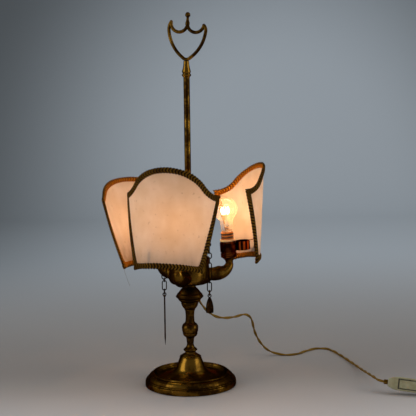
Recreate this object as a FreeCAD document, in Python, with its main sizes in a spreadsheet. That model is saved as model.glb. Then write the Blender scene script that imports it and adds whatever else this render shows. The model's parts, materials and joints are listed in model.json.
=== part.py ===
import FreeCAD, Part
import math
import operator
import os
import types

import Sketcher
from FreeCAD import Placement, Rotation, Vector

# An electrified oil lamp: a dished brass foot, a turned stem, a reservoir with three
# nozzles that hold small screw lampholders, three parchment shades clipped to them,
# three tools on chains, a rod with a shield-shaped handle, and a cord with a switch.
# Millimetres. +Z is up, the origin is on the table under the stem, -Y faces the viewer.

driving = {
    "Foot": {
        "pad_thickness": 2.0,
        "pad_inset": 2.8,
        "foot_radius": 84.0,
        "foot_lift": 0.8,
        "foot_height": 10.2,
        "dish_wall": 1.6,
        "rim_inset": 13.6,
        "rim_rise": 14.0,
        "dish_slope": 8.4,
        "dish_depth": 7.0,
        "cone_top_radius": 12.1,
        "cone_top_height": 58.3,
        "nut_height": 6.0,
        "nut_flats": 17.0,
    },
    "Stem": {
        "tube_radius": 4.95,
        "tube_bore_radius": 3.6,
        "tube_clearance": 0.25,
        "vase_height": 62.7,
        "vase_belly_radius": 15.0,
        "vase_neck_radius": 6.8,
        "vase_ring_radius": 12.0,
        "column_height": 20.5,
        "column_radius": 8.3,
        "knob_height": 46.9,
        "knob_radius": 25.0,
        "bush_wall": 1.5,
        "bush_length": 16.0,
        "bush_clearance": 0.1,
        "bush_azimuth": 38.0,
        "bush_drop_angle": 50.0,
    },
    "Reservoir": {
        "bowl_height": 47.6,
        "bowl_radius": 38.0,
        "bowl_wall": 1.4,
        "lid_height": 36.0,
        "lid_flange": 2.5,
        "nozzle_reach": 76.4,
        "nozzle_azimuth": 15.0,
        "nozzle_root_radius": 13.2,
        "nozzle_waist_radius": 6.6,
        "nozzle_wall": 1.3,
        "nozzle_axis_height": 17.0,
        "nozzle_top_height": 35.8,
        "wire_radius": 1.1,
        "hook_overhang": 9.0,
        "hook_wire_radius": 1.2,
        "hook_eye_radius": 3.0,
    },
    "Lampholder": {
        "cup_height": 10.0,
        "cup_radius": 12.2,
        "holder_tilt": 4.0,
        "shell_radius": 13.9,
        "shell_ridge_rise": 1.0,
        "shell_ridge_height": 9.6,
        "shell_height": 30.6,
        "shell_wall": 2.2,
        "ring_height": 3.8,
        "thread_inset": 1.8,
        "thread_pitch": 2.8,
        "neck_height": 13.6,
        "cap_radius": 6.7,
        "cap_bore_clearance": 0.5,
        "bulb_radius": 22.5,
        "bulb_height": 64.0,
        "bulb_wall": 0.7,
    },
    "Shade": {
        "sheet_curve_radius": 85.3,
        "sheet_thickness": 0.8,
        "sheet_peak": 171.6,
        "sheet_shoulder": 118.0,
        "sheet_top_half": 106.0,
        "sheet_bottom_half": 64.3,
        "sheet_bottom_arch": 8.4,
        "dome_radius": 86.7,
        "dome_half": 68.0,
        "braid_width": 8.5,
        "braid_thickness": 1.0,
        "braid_overhang": 1.2,
        "clip_clearance": 0.35,
        "clip_sheet": 0.8,
        "clip_height": 16.4,
        "clip_ridge_gap": 1.4,
        "clip_loop_radius": 14.0,
        "clip_plate_width": 4.5,
        "clip_plate_height": 18.0,
    },
    "Rod": {
        "rod_wall": 0.9,
        "rod_clearance": 0.05,
        "rod_top": 595.0,
        "rod_socket_depth": 18.0,
        "handle_half_width": 34.6,
        "handle_height": 66.0,
        "handle_wire_radius": 3.0,
        "handle_turn": -20.0,
        "handle_lean": -3.0,
        "finial_height": 18.4,
        "ball_radius": 4.5,
    },
    "Tools": {
        "link_wire_radius": 0.95,
        "link_gap": 0.15,
        "extinguisher_radius": 6.8,
        "extinguisher_height": 28.0,
        "extinguisher_wall": 0.8,
        "needle_radius": 1.4,
        "needle_length": 92.0,
        "needle_lean": 2.9,
        "tweezer_length": 96.0,
        "tweezer_spread": 4.6,
        "tool_eye_radius": 2.8,
    },
    "Cord": {
        "cord_radius": 2.0,
        "coil_radius": 22.0,
        "coil_turns": 7,
        "coil_layers": 4,
        "coil_side_gap": 0.6,
        "coil_layer_gap": 0.5,
        "switch_length": 76.0,
        "switch_width": 24.0,
        "switch_thickness": 17.0,
        "switch_end_width": 13.0,
        "switch_taper": 20.0,
        "switch_wall": 2.0,
        "switch_heading": -17.4,
        "switch_pitch": 4.2,
        "switch_roll": 14.5,
        "rocker_length": 34.0,
        "rocker_width": 15.6,
        "rocker_gap": 0.7,
        "gland_length": 7.5,
        "gland_wall": 2.05,
        "cord_clearance": 0.15,
        "sleeve_length": 24.0,
        "sleeve_wall": 2.2,
        "plug_length": 36.0,
        "plug_width": 14.0,
        "plug_thickness": 13.0,
        "pin_radius": 2.0,
        "pin_length": 19.0,
        "pin_spacing": 18.6,
    },
}

doc = FreeCAD.newDocument("OilLamp")
sheet = doc.addObject("Spreadsheet::Sheet", "Sizes")


class Size:
    """A length that knows its value and the sheet expression that it comes from."""

    def __init__(self, value, text):
        self.value = float(value)
        self.text = text

    def __add__(self, other):
        return joined(self, "+", other)

    def __radd__(self, other):
        return joined(other, "+", self)

    def __sub__(self, other):
        return joined(self, "-", other)

    def __rsub__(self, other):
        return joined(other, "-", self)

    def __mul__(self, other):
        return joined(self, "*", other)

    def __rmul__(self, other):
        return joined(other, "*", self)

    def __truediv__(self, other):
        return joined(self, "/", other)

    def __neg__(self):
        return joined(0, "-", self)


signs = {"+": operator.add, "-": operator.sub, "*": operator.mul, "/": operator.truediv}


def as_size(value):
    if isinstance(value, Size):
        return value
    return Size(value, repr(float(value)))


def joined(left, sign, right):
    left, right = as_size(left), as_size(right)
    text = "(" + left.text + " " + sign + " " + right.text + ")"
    return Size(signs[sign](left.value, right.value), text)


def root(size):
    return Size(math.sqrt(size.value), "sqrt(" + size.text + ")")


def write_sheet():
    """Every driving size goes into a cell of its own, with its name as alias."""
    row = 1
    found = {}
    for section, entries in driving.items():
        sheet.set("A" + str(row), section)
        row += 1
        for name, value in entries.items():
            sheet.set("A" + str(row), name)
            sheet.set("B" + str(row), str(value))
            sheet.setAlias("B" + str(row), name)
            found[name] = Size(value, "Sizes." + name)
            row += 1
    doc.recompute()
    return types.SimpleNamespace(**found)


mm = write_sheet()

# Heights where one piece stands on the next.
foot_top = mm.cone_top_height
vase_top = foot_top + mm.vase_height
column_top = vase_top + mm.column_height
knob_top = column_top + mm.knob_height
bowl_top = knob_top + mm.bowl_height
lid_top = bowl_top + mm.lid_height
tube_hole_radius = mm.tube_radius + mm.tube_clearance
holder_base = knob_top + mm.nozzle_top_height + mm.cup_height
# Sizes that follow from others.
pad_radius = mm.foot_radius - mm.pad_inset
rim_radius = mm.foot_radius - mm.rim_inset
rim_height = mm.foot_height + mm.rim_rise
dish_floor_radius = rim_radius - mm.dish_slope
dish_floor_height = rim_height - mm.dish_depth
bush_bore_radius = mm.cord_radius + mm.bush_clearance
bush_radius = bush_bore_radius + mm.bush_wall
hook_reach = mm.bowl_radius + mm.hook_overhang
shell_ridge_radius = mm.shell_radius + mm.shell_ridge_rise
thread_radius = mm.shell_radius - mm.thread_inset
core_height = mm.shell_height + mm.ring_height + mm.neck_height
core_floor = core_height - 21.8
clip_lift = mm.shell_ridge_height + mm.clip_ridge_gap
rod_bore_radius = mm.tube_radius + mm.rod_clearance
rod_radius = rod_bore_radius + mm.rod_wall
coil_side_step = mm.cord_radius * 2 + mm.coil_side_gap
coil_layer_step = mm.cord_radius * 2 + mm.coil_layer_gap
nozzle_names = ("1", "2", "3")
nozzle_angles = [mm.nozzle_azimuth.value - turn for turn in (0, 120, 240)]

finished = []


def about(axis, degrees):
    return Placement(Vector(0, 0, 0), Rotation(axis, degrees))


def moved(x, y, z):
    return Placement(Vector(x, y, z), Rotation())


x_axis, y_axis, z_axis = Vector(1, 0, 0), Vector(0, 1, 0), Vector(0, 0, 1)


def finish(piece, label, placement=None):
    """Names a finished sub-part and puts it in its place."""
    piece.Label = label
    if placement is not None:
        piece.Placement = placement
    finished.append(piece)
    return piece


def bind(feature, **properties):
    """Sets properties to sizes and ties each one to its sheet expression."""
    for name, size in properties.items():
        size = as_size(size)
        setattr(feature, name, size.value)
        feature.setExpression(name, size.text)
    return feature


def new_body(label):
    return doc.addObject("PartDesign::Body", label)


def origin_plane(body, role):
    for feature in body.Origin.OriginFeatures:
        if feature.Role == role:
            return feature
    raise ValueError("no plane " + role)


def new_sketch(body, role, name, height=None):
    sketch = body.newObject("Sketcher::SketchObject", name)
    sketch.AttachmentSupport = [(origin_plane(body, role), "")]
    sketch.MapMode = "FlatFace"
    if height is not None:
        sketch.AttachmentOffset = moved(0, 0, as_size(height).value)
        sketch.setExpression("AttachmentOffset.Base.z", as_size(height).text)
    return sketch


def arc_between(start, end, bulge):
    """The circle arc from start to end that rises bulge times the chord to one side."""
    chord = end - start
    radius = chord.Length * (1 + 4 * bulge * bulge) / (8 * abs(bulge))
    left = Vector(-chord.y, chord.x, 0).normalize()
    side = 1 if bulge > 0 else -1
    centre = (start + end) * 0.5 + left * side * (radius - abs(bulge) * chord.Length)
    first, last = (start, end) if bulge > 0 else (end, start)
    first_angle = math.atan2(first.y - centre.y, first.x - centre.x)
    last_angle = math.atan2(last.y - centre.y, last.x - centre.x)
    if last_angle <= first_angle:
        last_angle += 2 * math.pi
    return Part.ArcOfCircle(Part.Circle(centre, z_axis, radius), first_angle, last_angle)


def draw_outline(sketch, points):
    """Draws a closed outline. Each point is (x, y) or (x, y, bulge), where bulge bends the
    side that arrives at the point: its rise over its chord, to the right when positive."""
    count = len(points)
    xs = [as_size(point[0]) for point in points]
    ys = [as_size(point[1]) for point in points]
    bulges = [point[2] if len(point) > 2 else 0 for point in points]
    corners = [Vector(x.value, y.value, 0) for x, y in zip(xs, ys)]
    geometry = []
    starts, ends = [], []
    for index in range(count):
        start, end, bulge = corners[index - 1], corners[index], bulges[index]
        if bulge:
            geometry.append(arc_between(start, end, bulge))
        else:
            geometry.append(Part.LineSegment(start, end))
        starts.append(2 if bulge < 0 else 1)
        ends.append(1 if bulge < 0 else 2)
    first = sketch.GeometryCount
    sketch.addGeometry(geometry, False)
    for index in range(count):
        following = (index + 1) % count
        edge, point = first + index, ends[index]
        sketch.addConstraint(Sketcher.Constraint(
            "Coincident", edge, point, first + following, starts[following]))
        for kind, axis, size in (("DistanceX", -2, xs[index]), ("DistanceY", -1, ys[index])):
            if size.value == 0:
                sketch.addConstraint(Sketcher.Constraint("PointOnObject", edge, point, axis))
                continue
            tie(sketch, Sketcher.Constraint(kind, -1, 1, edge, point, size.value), size)
        bulge = bulges[index]
        if bulge:
            across = xs[index] - xs[index - 1]
            up = ys[index] - ys[index - 1]
            share = (1 + 4 * bulge * bulge) / (8 * abs(bulge))
            radius = root(across * across + up * up) * share
            tie(sketch, Sketcher.Constraint("Radius", edge, radius.value), radius)


def draw_circle(sketch, x, y, radius):
    x, y, radius = as_size(x), as_size(y), as_size(radius)
    edge = sketch.addGeometry(Part.Circle(Vector(x.value, y.value, 0), z_axis, radius.value))
    for kind, axis, size in (("DistanceX", -2, x), ("DistanceY", -1, y)):
        if size.value == 0:
            sketch.addConstraint(Sketcher.Constraint("PointOnObject", edge, 3, axis))
            continue
        tie(sketch, Sketcher.Constraint(kind, -1, 1, edge, 3, size.value), size)
    tie(sketch, Sketcher.Constraint("Radius", edge, radius.value), radius)


def tie(sketch, constraint, size):
    """Adds a constraint under a name and binds it to the size's expression."""
    index = sketch.addConstraint(constraint)
    name = "size_" + str(index)
    sketch.renameConstraint(index, name)
    sketch.setExpression("Constraints." + name, size.text)


def revolve_outline(body, points):
    sketch = new_sketch(body, "XZ_Plane", "Profile")
    draw_outline(sketch, points)
    turning = body.newObject("PartDesign::Revolution", "Turning")
    turning.Profile = sketch
    turning.ReferenceAxis = (sketch, ["V_Axis"])
    turning.Angle = 360
    sketch.Visibility = False
    return turning


def turned(label, points, placement=None):
    """A piece turned on a lathe: its outline as (radius, height) points."""
    body = new_body(label)
    revolve_outline(body, points)
    return finish(body, label, placement)


def pad(body, sketch, length, name="Pad", midplane=False):
    feature = body.newObject("PartDesign::Pad", name)
    feature.Profile = sketch
    feature.Midplane = midplane
    bind(feature, Length=length)
    return feature


def pocket(body, sketch, length, name="Pocket", reverse=False, midplane=False):
    feature = body.newObject("PartDesign::Pocket", name)
    feature.Profile = sketch
    feature.Reversed = reverse
    feature.Midplane = midplane
    bind(feature, Length=length)
    return feature


def cylinder(name, radius, height, placement=None):
    piece = bind(doc.addObject("Part::Cylinder", name), Radius=radius, Height=height)
    if placement is not None:
        piece.Placement = placement
    return piece


def box(name, length, width, height, placement=None):
    piece = bind(doc.addObject("Part::Box", name), Length=length, Width=width, Height=height)
    if placement is not None:
        piece.Placement = placement
    return piece


def cut(name, base, tool):
    piece = doc.addObject("Part::Cut", name)
    piece.Base, piece.Tool = base, tool
    return piece


def fuse(name, pieces):
    piece = doc.addObject("Part::MultiFuse", name)
    piece.Shapes = pieces
    return piece


def common(name, pieces):
    piece = doc.addObject("Part::MultiCommon", name)
    piece.Shapes = pieces
    return piece


def shaped(label, shape, placement=None):
    """A sub-part whose shape comes from Part's own functions."""
    piece = doc.addObject("Part::Feature", label)
    piece.Shape = shape
    return finish(piece, label, placement)


def arc_from(start, tangent, end):
    """The arc that leaves start along tangent and arrives at end."""
    chord = end - start
    along = chord.dot(tangent) / chord.Length
    angle = math.acos(max(-1.0, min(1.0, along)))
    if angle < 1e-6:
        return Part.LineSegment(start, end)
    side = (tangent - chord * (tangent.dot(chord) / chord.dot(chord))).normalize()
    middle = (start + end) * 0.5 + side * (chord.Length / 2 * math.tan(angle / 2))
    return Part.Arc(start, middle, end)


def pipe_along(edges, radius):
    """A round bar along a wire of edges that run on smoothly."""
    path = Part.Wire([edge.toShape() for edge in edges])
    first = edges[0]
    start = first.value(first.FirstParameter)
    tangent = first.tangent(first.FirstParameter)[0]
    ring = Part.Wire(Part.Circle(start, tangent, radius).toShape())
    return path.makePipeShell([ring], True, False)


def round_bar(start, end, radius):
    axis = end - start
    return Part.makeCylinder(radius, axis.Length, start, axis)


# Foot: a felt pad, a cast weight, the spun dish and the nut that clamps the stem's tube.

def make_foot():
    felt = new_body("base_pad")
    sketch = new_sketch(felt, "XY_Plane", "Disc")
    draw_circle(sketch, 0, 0, pad_radius)
    pad(felt, sketch, mm.pad_thickness)
    finish(felt, "base_pad")

    floor_under = dish_floor_height - mm.dish_wall
    nut_room = mm.nut_height + 1.0
    nut_base = mm.pad_thickness + 1.0
    turned("base_weight", [
        (14.0, mm.pad_thickness),
        (pad_radius - 3.0, mm.pad_thickness),
        (pad_radius - 3.0, mm.pad_thickness + 5.0),
        (dish_floor_radius + 0.6, floor_under, 0.08),
        (tube_hole_radius, floor_under),
        (tube_hole_radius, nut_base + nut_room),
        (14.0, nut_base + nut_room),
    ])

    rise = mm.cone_top_height - dish_floor_height
    outer = [
        (mm.foot_radius, mm.foot_lift),
        (mm.foot_radius, mm.foot_height - 1.2, 0.03),
        (mm.foot_radius - 1.4, mm.foot_height, 0.15),
        (mm.foot_radius - 2.2, mm.foot_height + 0.5),
        (mm.foot_radius - 2.6, mm.foot_height + 2.6, 0.45),
        (mm.foot_radius - 4.6, mm.foot_height + 3.0),
        (mm.foot_radius - 4.8, mm.foot_height + 4.2),
        (rim_radius + 0.3, rim_height - 2.6, 0.16),
        (rim_radius + 0.4, rim_height - 0.6, 0.3),
        (rim_radius - 1.6, rim_height, 0.25),
        (rim_radius - 2.8, rim_height - 1.2, 0.2),
        (dish_floor_radius, dish_floor_height, -0.18),
        (dish_floor_radius - 4.0, dish_floor_height),
        (34.0, dish_floor_height + rise * 0.195, -0.03),
        (25.6, dish_floor_height + rise * 0.443, -0.1),
        (22.2, dish_floor_height + rise * 0.676, 0.01),
        (19.4, mm.cone_top_height - 6.6, 0.02),
        (19.2, mm.cone_top_height - 4.6, 0.3),
        (16.6, mm.cone_top_height - 3.6, 0.15),
        (mm.cone_top_radius, mm.cone_top_height, 0.06),
    ]
    inner = [
        (tube_hole_radius, mm.cone_top_height),
        (tube_hole_radius, mm.cone_top_height - 2.2),
        (14.0, mm.cone_top_height - 5.2),
        (20.4, dish_floor_height + rise * 0.667),
        (23.8, dish_floor_height + rise * 0.428),
        (32.2, dish_floor_height + rise * 0.165, 0.1),
        (dish_floor_radius - 4.0, floor_under, 0.03),
        (dish_floor_radius + 0.6, floor_under),
        (rim_radius - 2.2, rim_height - 3.4, 0.15),
        (rim_radius - 1.2, rim_height - 3.6),
        (mm.foot_radius - 6.6, mm.foot_height + 2.6, -0.16),
        (mm.foot_radius - 2.0, mm.foot_height - 2.2),
        (mm.foot_radius - 2.0, mm.foot_lift),
    ]
    turned("base_dish", outer + inner)

    nut = new_body("base_nut")
    sketch = new_sketch(nut, "XY_Plane", "Hexagon")
    half = mm.nut_flats / 2
    corner = mm.nut_flats / math.sqrt(3)
    draw_outline(sketch, [
        (corner, 0), (corner / 2, half), (-corner / 2, half),
        (-corner, 0), (-corner / 2, -half), (corner / 2, -half),
    ])
    draw_circle(sketch, 0, 0, mm.tube_radius)
    pad(nut, sketch, mm.nut_height)
    finish(nut, "base_nut", moved(0, 0, nut_base.value))
    nut.setExpression("Placement.Base.z", nut_base.text)
    return nut_base


# Stem: a threaded tube carries three turned pieces and holds the wires.

def make_stem(nut_base):
    tube_end = lid_top + mm.rod_socket_depth
    tube = new_body("centre_tube")
    revolve_outline(tube, [
        (mm.tube_bore_radius, nut_base),
        (mm.tube_radius, nut_base),
        (mm.tube_radius, tube_end),
        (mm.tube_bore_radius, tube_end),
    ])
    wire_hole = knob_top + mm.nozzle_axis_height
    bush_height = knob_top - 24.4
    for name, height in (("WireHole", wire_hole), ("CordHole", bush_height)):
        hole = new_sketch(tube, "XZ_Plane", name + "Circle")
        draw_circle(hole, 0, height, 2.4)
        pocket(tube, hole, mm.tube_radius * 2 + 2, name, midplane=True)
    finish(tube, "centre_tube")

    part = mm.vase_height / 62.7
    turned("stem_vase", [
        (tube_hole_radius, foot_top),
        (mm.vase_ring_radius - 2.0, foot_top),
        (mm.vase_ring_radius - 2.4, foot_top + part * 3.6),
        (mm.vase_ring_radius - 0.6, foot_top + part * 5.4),
        (mm.vase_ring_radius - 0.5, foot_top + part * 9.0, 0.35),
        (mm.vase_ring_radius - 3.2, foot_top + part * 11.4, 0.05),
        (mm.vase_neck_radius, foot_top + part * 22.9, -0.12),
        (mm.vase_neck_radius + 1.5, foot_top + part * 31.0, -0.06),
        (mm.vase_belly_radius - 4.4, foot_top + part * 32.6),
        (mm.vase_belly_radius - 2.2, foot_top + part * 35.4, 0.12),
        (mm.vase_belly_radius - 1.3, foot_top + part * 38.4, 0.06),
        (mm.vase_belly_radius - 2.1, foot_top + part * 39.2),
        (mm.vase_belly_radius - 1.1, foot_top + part * 40.4, 0.06),
        (mm.vase_belly_radius, foot_top + part * 46.6, 0.05),
        (mm.vase_belly_radius - 4.6, foot_top + part * 57.4, 0.16),
        (mm.column_radius + 0.1, vase_top, -0.12),
        (tube_hole_radius, vase_top),
    ])
    turned("stem_column", [
        (tube_hole_radius, vase_top),
        (mm.column_radius, vase_top),
        (mm.column_radius + 0.5, column_top - 2.4, -0.03),
        (mm.column_radius + 1.2, column_top - 1.6),
        (mm.column_radius + 1.2, column_top, 0.2),
        (tube_hole_radius, column_top),
    ])

    knob = new_body("stem_knob")
    part = mm.knob_height / 46.9
    tip = column_top + part * 24.1
    revolve_outline(knob, [
        (tube_hole_radius, column_top),
        (mm.column_radius + 0.8, column_top),
        (mm.knob_radius - 8.9, tip - part * 11.2, 0.1),
        (mm.knob_radius - 9.0, tip - part * 10.2),
        (mm.knob_radius - 4.0, tip - part * 5.4, 0.08),
        (mm.knob_radius - 4.2, tip - part * 4.4),
        (mm.knob_radius - 0.4, tip - part * 1.2, 0.06),
        (mm.knob_radius - 0.9, tip + part * 1.6, 0.4),
        (mm.knob_radius - 3.4, tip + part * 6.2, 0.12),
        (mm.knob_radius - 4.3, tip + part * 6.8),
        (14.6, tip + part * 14.8, 0.03),
        (11.0, tip + part * 19.6, -0.08),
        (11.2, knob_top - 1.8, -0.2),
        (11.2, knob_top, 0.2),
        (tube_hole_radius, knob_top),
    ])
    finish(knob, "stem_knob")
    return knob


# The cord leaves the knob's underside through a turned bush that points out and down.

def bush_frame():
    """The bush's place: its local Z points along the cord, from the stem's bore out."""
    outwards = about(z_axis, mm.bush_azimuth.value)
    down = about(y_axis, 90 + mm.bush_drop_angle.value)
    up_knob = mm.knob_height.value * 16.9 / 46.9
    on_knob = Vector(mm.knob_radius.value - 5.4, 0, column_top.value + up_knob)
    return outwards.multiply(Placement(on_knob, Rotation())).multiply(down)


def make_cord_bush(knob):
    frame = bush_frame()
    sunk = mm.bush_length - 4.4
    place = frame.multiply(moved(0, 0, -sunk.value))
    drill = cylinder("BushDrill", bush_radius, mm.bush_length + 4, place)
    finished.remove(knob)
    knob.Label = "KnobBlank"
    finish(cut("stem_knob", knob, drill), "stem_knob")
    turned("cord_bush", [
        (bush_bore_radius, 0),
        (bush_radius, 0),
        (bush_radius, sunk + 0.9),
        (bush_radius + 0.9, sunk + 0.9),
        (bush_radius + 0.9, sunk + 2.1),
        (bush_bore_radius + 0.6, mm.bush_length, 0.06),
        (bush_bore_radius, mm.bush_length),
    ], place)
    return frame.multiply(moved(0, 0, 4.4))


# Reservoir: a spun bowl and lid. The nozzles are soldered to the bowl's side.

def bowl_outline():
    return [
        (12.0, knob_top),
        (mm.bowl_radius - 9.0, knob_top + 1.8, 0.02),
        (mm.bowl_radius - 1.6, knob_top + 6.6, 0.16),
        (mm.bowl_radius, knob_top + 13.0, 0.08),
        (mm.bowl_radius - 2.6, bowl_top),
    ]


def make_reservoir():
    wall = mm.bowl_wall
    bowl = turned("BowlBlank", [(tube_hole_radius, knob_top)] + bowl_outline() + [
        (mm.bowl_radius - 2.6 - wall, bowl_top),
        (mm.bowl_radius - wall, knob_top + 13.0),
        (mm.bowl_radius - 1.6 - wall, knob_top + 7.4, -0.08),
        (mm.bowl_radius - 9.2, knob_top + 1.8 + wall, -0.16),
        (12.0, knob_top + wall),
        (tube_hole_radius, knob_top + wall),
    ])
    finished.remove(bowl)
    drills = []
    for angle in nozzle_angles:
        place = about(z_axis, angle).multiply(moved(
            mm.bowl_radius.value - 12, 0, knob_top.value + mm.nozzle_axis_height.value))
        drills.append(cylinder("NozzleDrill", 7.5, 20, place.multiply(about(y_axis, 90))))
    finish(cut("reservoir_bowl", bowl, fuse("NozzleDrills", drills)), "reservoir_bowl")

    flange_radius = mm.bowl_radius - 1.2
    flange_top = bowl_top + mm.lid_flange
    turned("reservoir_lid", [
        (mm.bowl_radius - 2.6 - wall, bowl_top),
        (flange_radius - 0.6, bowl_top),
        (flange_radius, bowl_top + 1.2, 0.15),
        (flange_radius - 0.8, flange_top, 0.15),
        (flange_radius - 4.4, flange_top),
        (flange_radius - 6.6, flange_top + 4.2, 0.1),
        (15.0, lid_top - 12.0, -0.18),
        (9.4, lid_top - 3.0, -0.05),
        (9.8, lid_top, 0.12),
        (tube_hole_radius, lid_top),
        (tube_hole_radius, lid_top - 2.0),
        (8.2, lid_top - 4.0),
        (13.8, lid_top - 13.0, 0.05),
        (flange_radius - 8.4, flange_top + 3.0, 0.18),
        (flange_radius - 5.6, bowl_top + 1.2, -0.1),
    ])


def turned_share(size, angle, function):
    """The sine or cosine part of a size at an angle in degrees."""
    value = size.value * getattr(math, function)(math.radians(angle.value))
    return Size(value, size.text + " * " + function + "(" + angle.text + ")")


def nozzle_loft(name, spare):
    """A loft through circles, from inside the bowl out and up to the waist."""
    root_height = knob_top + mm.nozzle_axis_height
    reach = mm.nozzle_reach
    stations = (
        (0, mm.bowl_radius - 8, root_height, mm.nozzle_root_radius - 0.3, 90),
        (1, reach - 22.0, root_height, mm.nozzle_root_radius, 90),
        (2, reach - 8.4, root_height + 4.6, mm.nozzle_root_radius - 2.0, 48),
        (3, reach - 1.0, root_height + 12.4, mm.nozzle_waist_radius + 2.2, 8),
        (4, reach + turned_share(mm.cup_height, mm.holder_tilt, "sin"),
         holder_base - turned_share(mm.cup_height, mm.holder_tilt, "cos"),
         mm.nozzle_waist_radius, -mm.holder_tilt.value),
    )
    rings = []
    for index, x, z, radius, lean in stations:
        ring = doc.addObject("Part::Circle", name + "Ring" + str(index))
        bind(ring, Radius=radius - spare)
        ring.Placement = moved(x.value, 0, z.value).multiply(about(y_axis, lean))
        ring.setExpression("Placement.Base.x", x.text)
        ring.setExpression("Placement.Base.z", z.text)
        rings.append(ring)
    loft = doc.addObject("Part::Loft", name)
    loft.Sections = rings
    loft.Solid = True
    return loft


def make_nozzles():
    for name, angle in zip(nozzle_names, nozzle_angles):
        outside = nozzle_loft("NozzleOutside" + name, as_size(0))
        inside = nozzle_loft("NozzleInside" + name, mm.nozzle_wall)
        bowl_space = new_body("BowlSpace" + name)
        revolve_outline(bowl_space, [(0, knob_top)] + bowl_outline() + [(0, bowl_top)])
        room = fuse("NozzleRoom" + name, [inside, bowl_space])
        finish(cut("nozzle_" + name, outside, room), "nozzle_" + name, about(z_axis, angle))


def make_wires():
    """A pair of wires runs from the tube's hole through each nozzle to its lampholder."""
    height = knob_top.value + mm.nozzle_axis_height.value
    reach = mm.nozzle_reach.value
    strands = []
    for angle in nozzle_angles:
        start = Vector(mm.tube_radius.value + 0.2, 0, height)
        corner = Vector(reach - 15.0, 0, height)
        foot = Vector(reach, 0, height + 15.0)
        end = Vector(reach, 0, holder_base.value + 1.0)
        bend = arc_from(corner, x_axis, foot)
        edges = [Part.LineSegment(start, corner), bend, Part.LineSegment(foot, end)]
        strand = pipe_along(edges, mm.wire_radius.value)
        strand.Placement = about(z_axis, angle)
        strands.append(strand)
    shaped("inner_wires", Part.makeCompound(strands))


# Lampholders, each in a frame of its own: Z along the holder, which leans to the stem.

def holder_frame(angle):
    place = about(z_axis, angle).multiply(moved(mm.nozzle_reach.value, 0, holder_base.value))
    return place.multiply(about(y_axis, -mm.holder_tilt.value))


def thread_outline(low, high):
    """Rounded threads up the outside of the holder's neck, as rings."""
    points = []
    count = int(round((high.value - low.value) / mm.thread_pitch.value))
    step = (high - low) / count
    for index in range(count):
        base = low + step * index
        points.append((thread_radius - 0.9, base + step * 0.12))
        points.append((thread_radius - 0.9, base + step * 0.88, 0.32))
    return points


def make_lampholders():
    wall = mm.shell_wall
    for name, angle in zip(nozzle_names, nozzle_angles):
        place = holder_frame(angle)
        turned("drip_cup_" + name, [
            (3.2, -mm.cup_height),
            (mm.nozzle_waist_radius - 0.2, -mm.cup_height),
            (mm.nozzle_waist_radius + 0.3, -mm.cup_height + 1.6, 0.2),
            (mm.cup_radius - 0.7, -1.2, -0.1),
            (mm.cup_radius, 0, 0.1),
            (3.2, 0),
        ], place)

        ridges = []
        for low in (1.4, 5.4):
            ridges.append((shell_ridge_radius - 0.9, low - 0.9))
            ridges.append((shell_ridge_radius, low, 0.1))
            ridges.append((shell_ridge_radius, low + 1.9))
            ridges.append((shell_ridge_radius - 0.9, low + 2.6, 0.1))
        turned("socket_shell_" + name, [
            (3.2, 0),
            (mm.cup_radius - 0.4, 0),
        ] + ridges + [
            (mm.shell_radius, mm.shell_ridge_height),
            (mm.shell_radius, mm.shell_height - 0.5),
            (mm.shell_radius - 0.5, mm.shell_height),
            (thread_radius - 1.3, mm.shell_height),
            (thread_radius - 1.3, wall),
            (3.2, wall),
        ], place)

        ring_top = mm.shell_height + mm.ring_height
        turned("socket_ring_" + name, [
            (thread_radius + 0.1, mm.shell_height),
            (mm.shell_radius - 0.3, mm.shell_height),
            (mm.shell_radius + 0.1, mm.shell_height + 1.2, 0.15),
            (mm.shell_radius + 0.1, ring_top - 1.8),
            (mm.shell_radius - 0.9, ring_top, 0.25),
            (thread_radius + 0.1, ring_top),
        ], place)

        cap_bore = mm.cap_radius + mm.cap_bore_clearance
        threads = thread_outline(ring_top + 0.4, core_height - 0.8)
        turned("socket_core_" + name, [
            (0, wall),
            (thread_radius - 1.5, wall),
            (thread_radius - 1.5, mm.shell_height),
            (thread_radius, mm.shell_height),
            (thread_radius, ring_top),
        ] + threads + [
            (thread_radius - 1.2, core_height),
            (cap_bore, core_height),
            (cap_bore, core_floor),
            (0, core_floor),
        ], place)


def make_bulbs():
    neck = core_height + 0.6
    centre = core_height + mm.bulb_height - mm.bulb_radius
    shoulder = centre - mm.bulb_radius + 3.9
    wall = mm.bulb_wall
    caps, lights = [], []
    for name, angle in zip(nozzle_names, nozzle_angles):
        place = holder_frame(angle)
        turned("bulb_glass_" + name, [
            (9.2, neck),
            (10.4, neck + 1.4, 0.15),
            (12.66, shoulder, -0.02),
            (mm.bulb_radius, centre, 0.115),
            (mm.bulb_radius * 0.08, centre + mm.bulb_radius * 0.9968, 0.197),
            (0, centre + mm.bulb_radius * 0.9968),
            (0, centre + mm.bulb_radius * 0.9968 - wall),
            (mm.bulb_radius * 0.08, centre + mm.bulb_radius * 0.9968 - wall),
            (mm.bulb_radius - wall, centre, -0.197),
            (12.66 - wall, shoulder + 0.3, -0.115),
            (9.9, neck + 2.0, 0.02),
            (9.2, neck + 1.0),
        ], place)
        caps.append(bulb_cap(place))
        lights.append(bulb_filament(place, neck.value, centre.value))
    shaped("bulb_caps", Part.makeCompound(caps))
    shaped("bulb_filaments", Part.makeCompound(lights))


def bulb_cap(place):
    """The screw cap: a contact button, the threaded sleeve and the collar that holds the glass."""
    base = core_floor.value + 0.4
    neck = core_height.value + 0.6
    radius = mm.cap_radius.value
    sleeve = Part.makeCylinder(radius, neck - base - 3.0, Vector(0, 0, base + 3.0))
    cone = Part.makeCone(2.4, radius, 3.0, Vector(0, 0, base))
    collar = Part.makeCylinder(9.2, 0.5, Vector(0, 0, neck - 0.5))
    cap = sleeve.fuse([cone, collar]).removeSplitter()
    cap.Placement = place
    return cap


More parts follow.
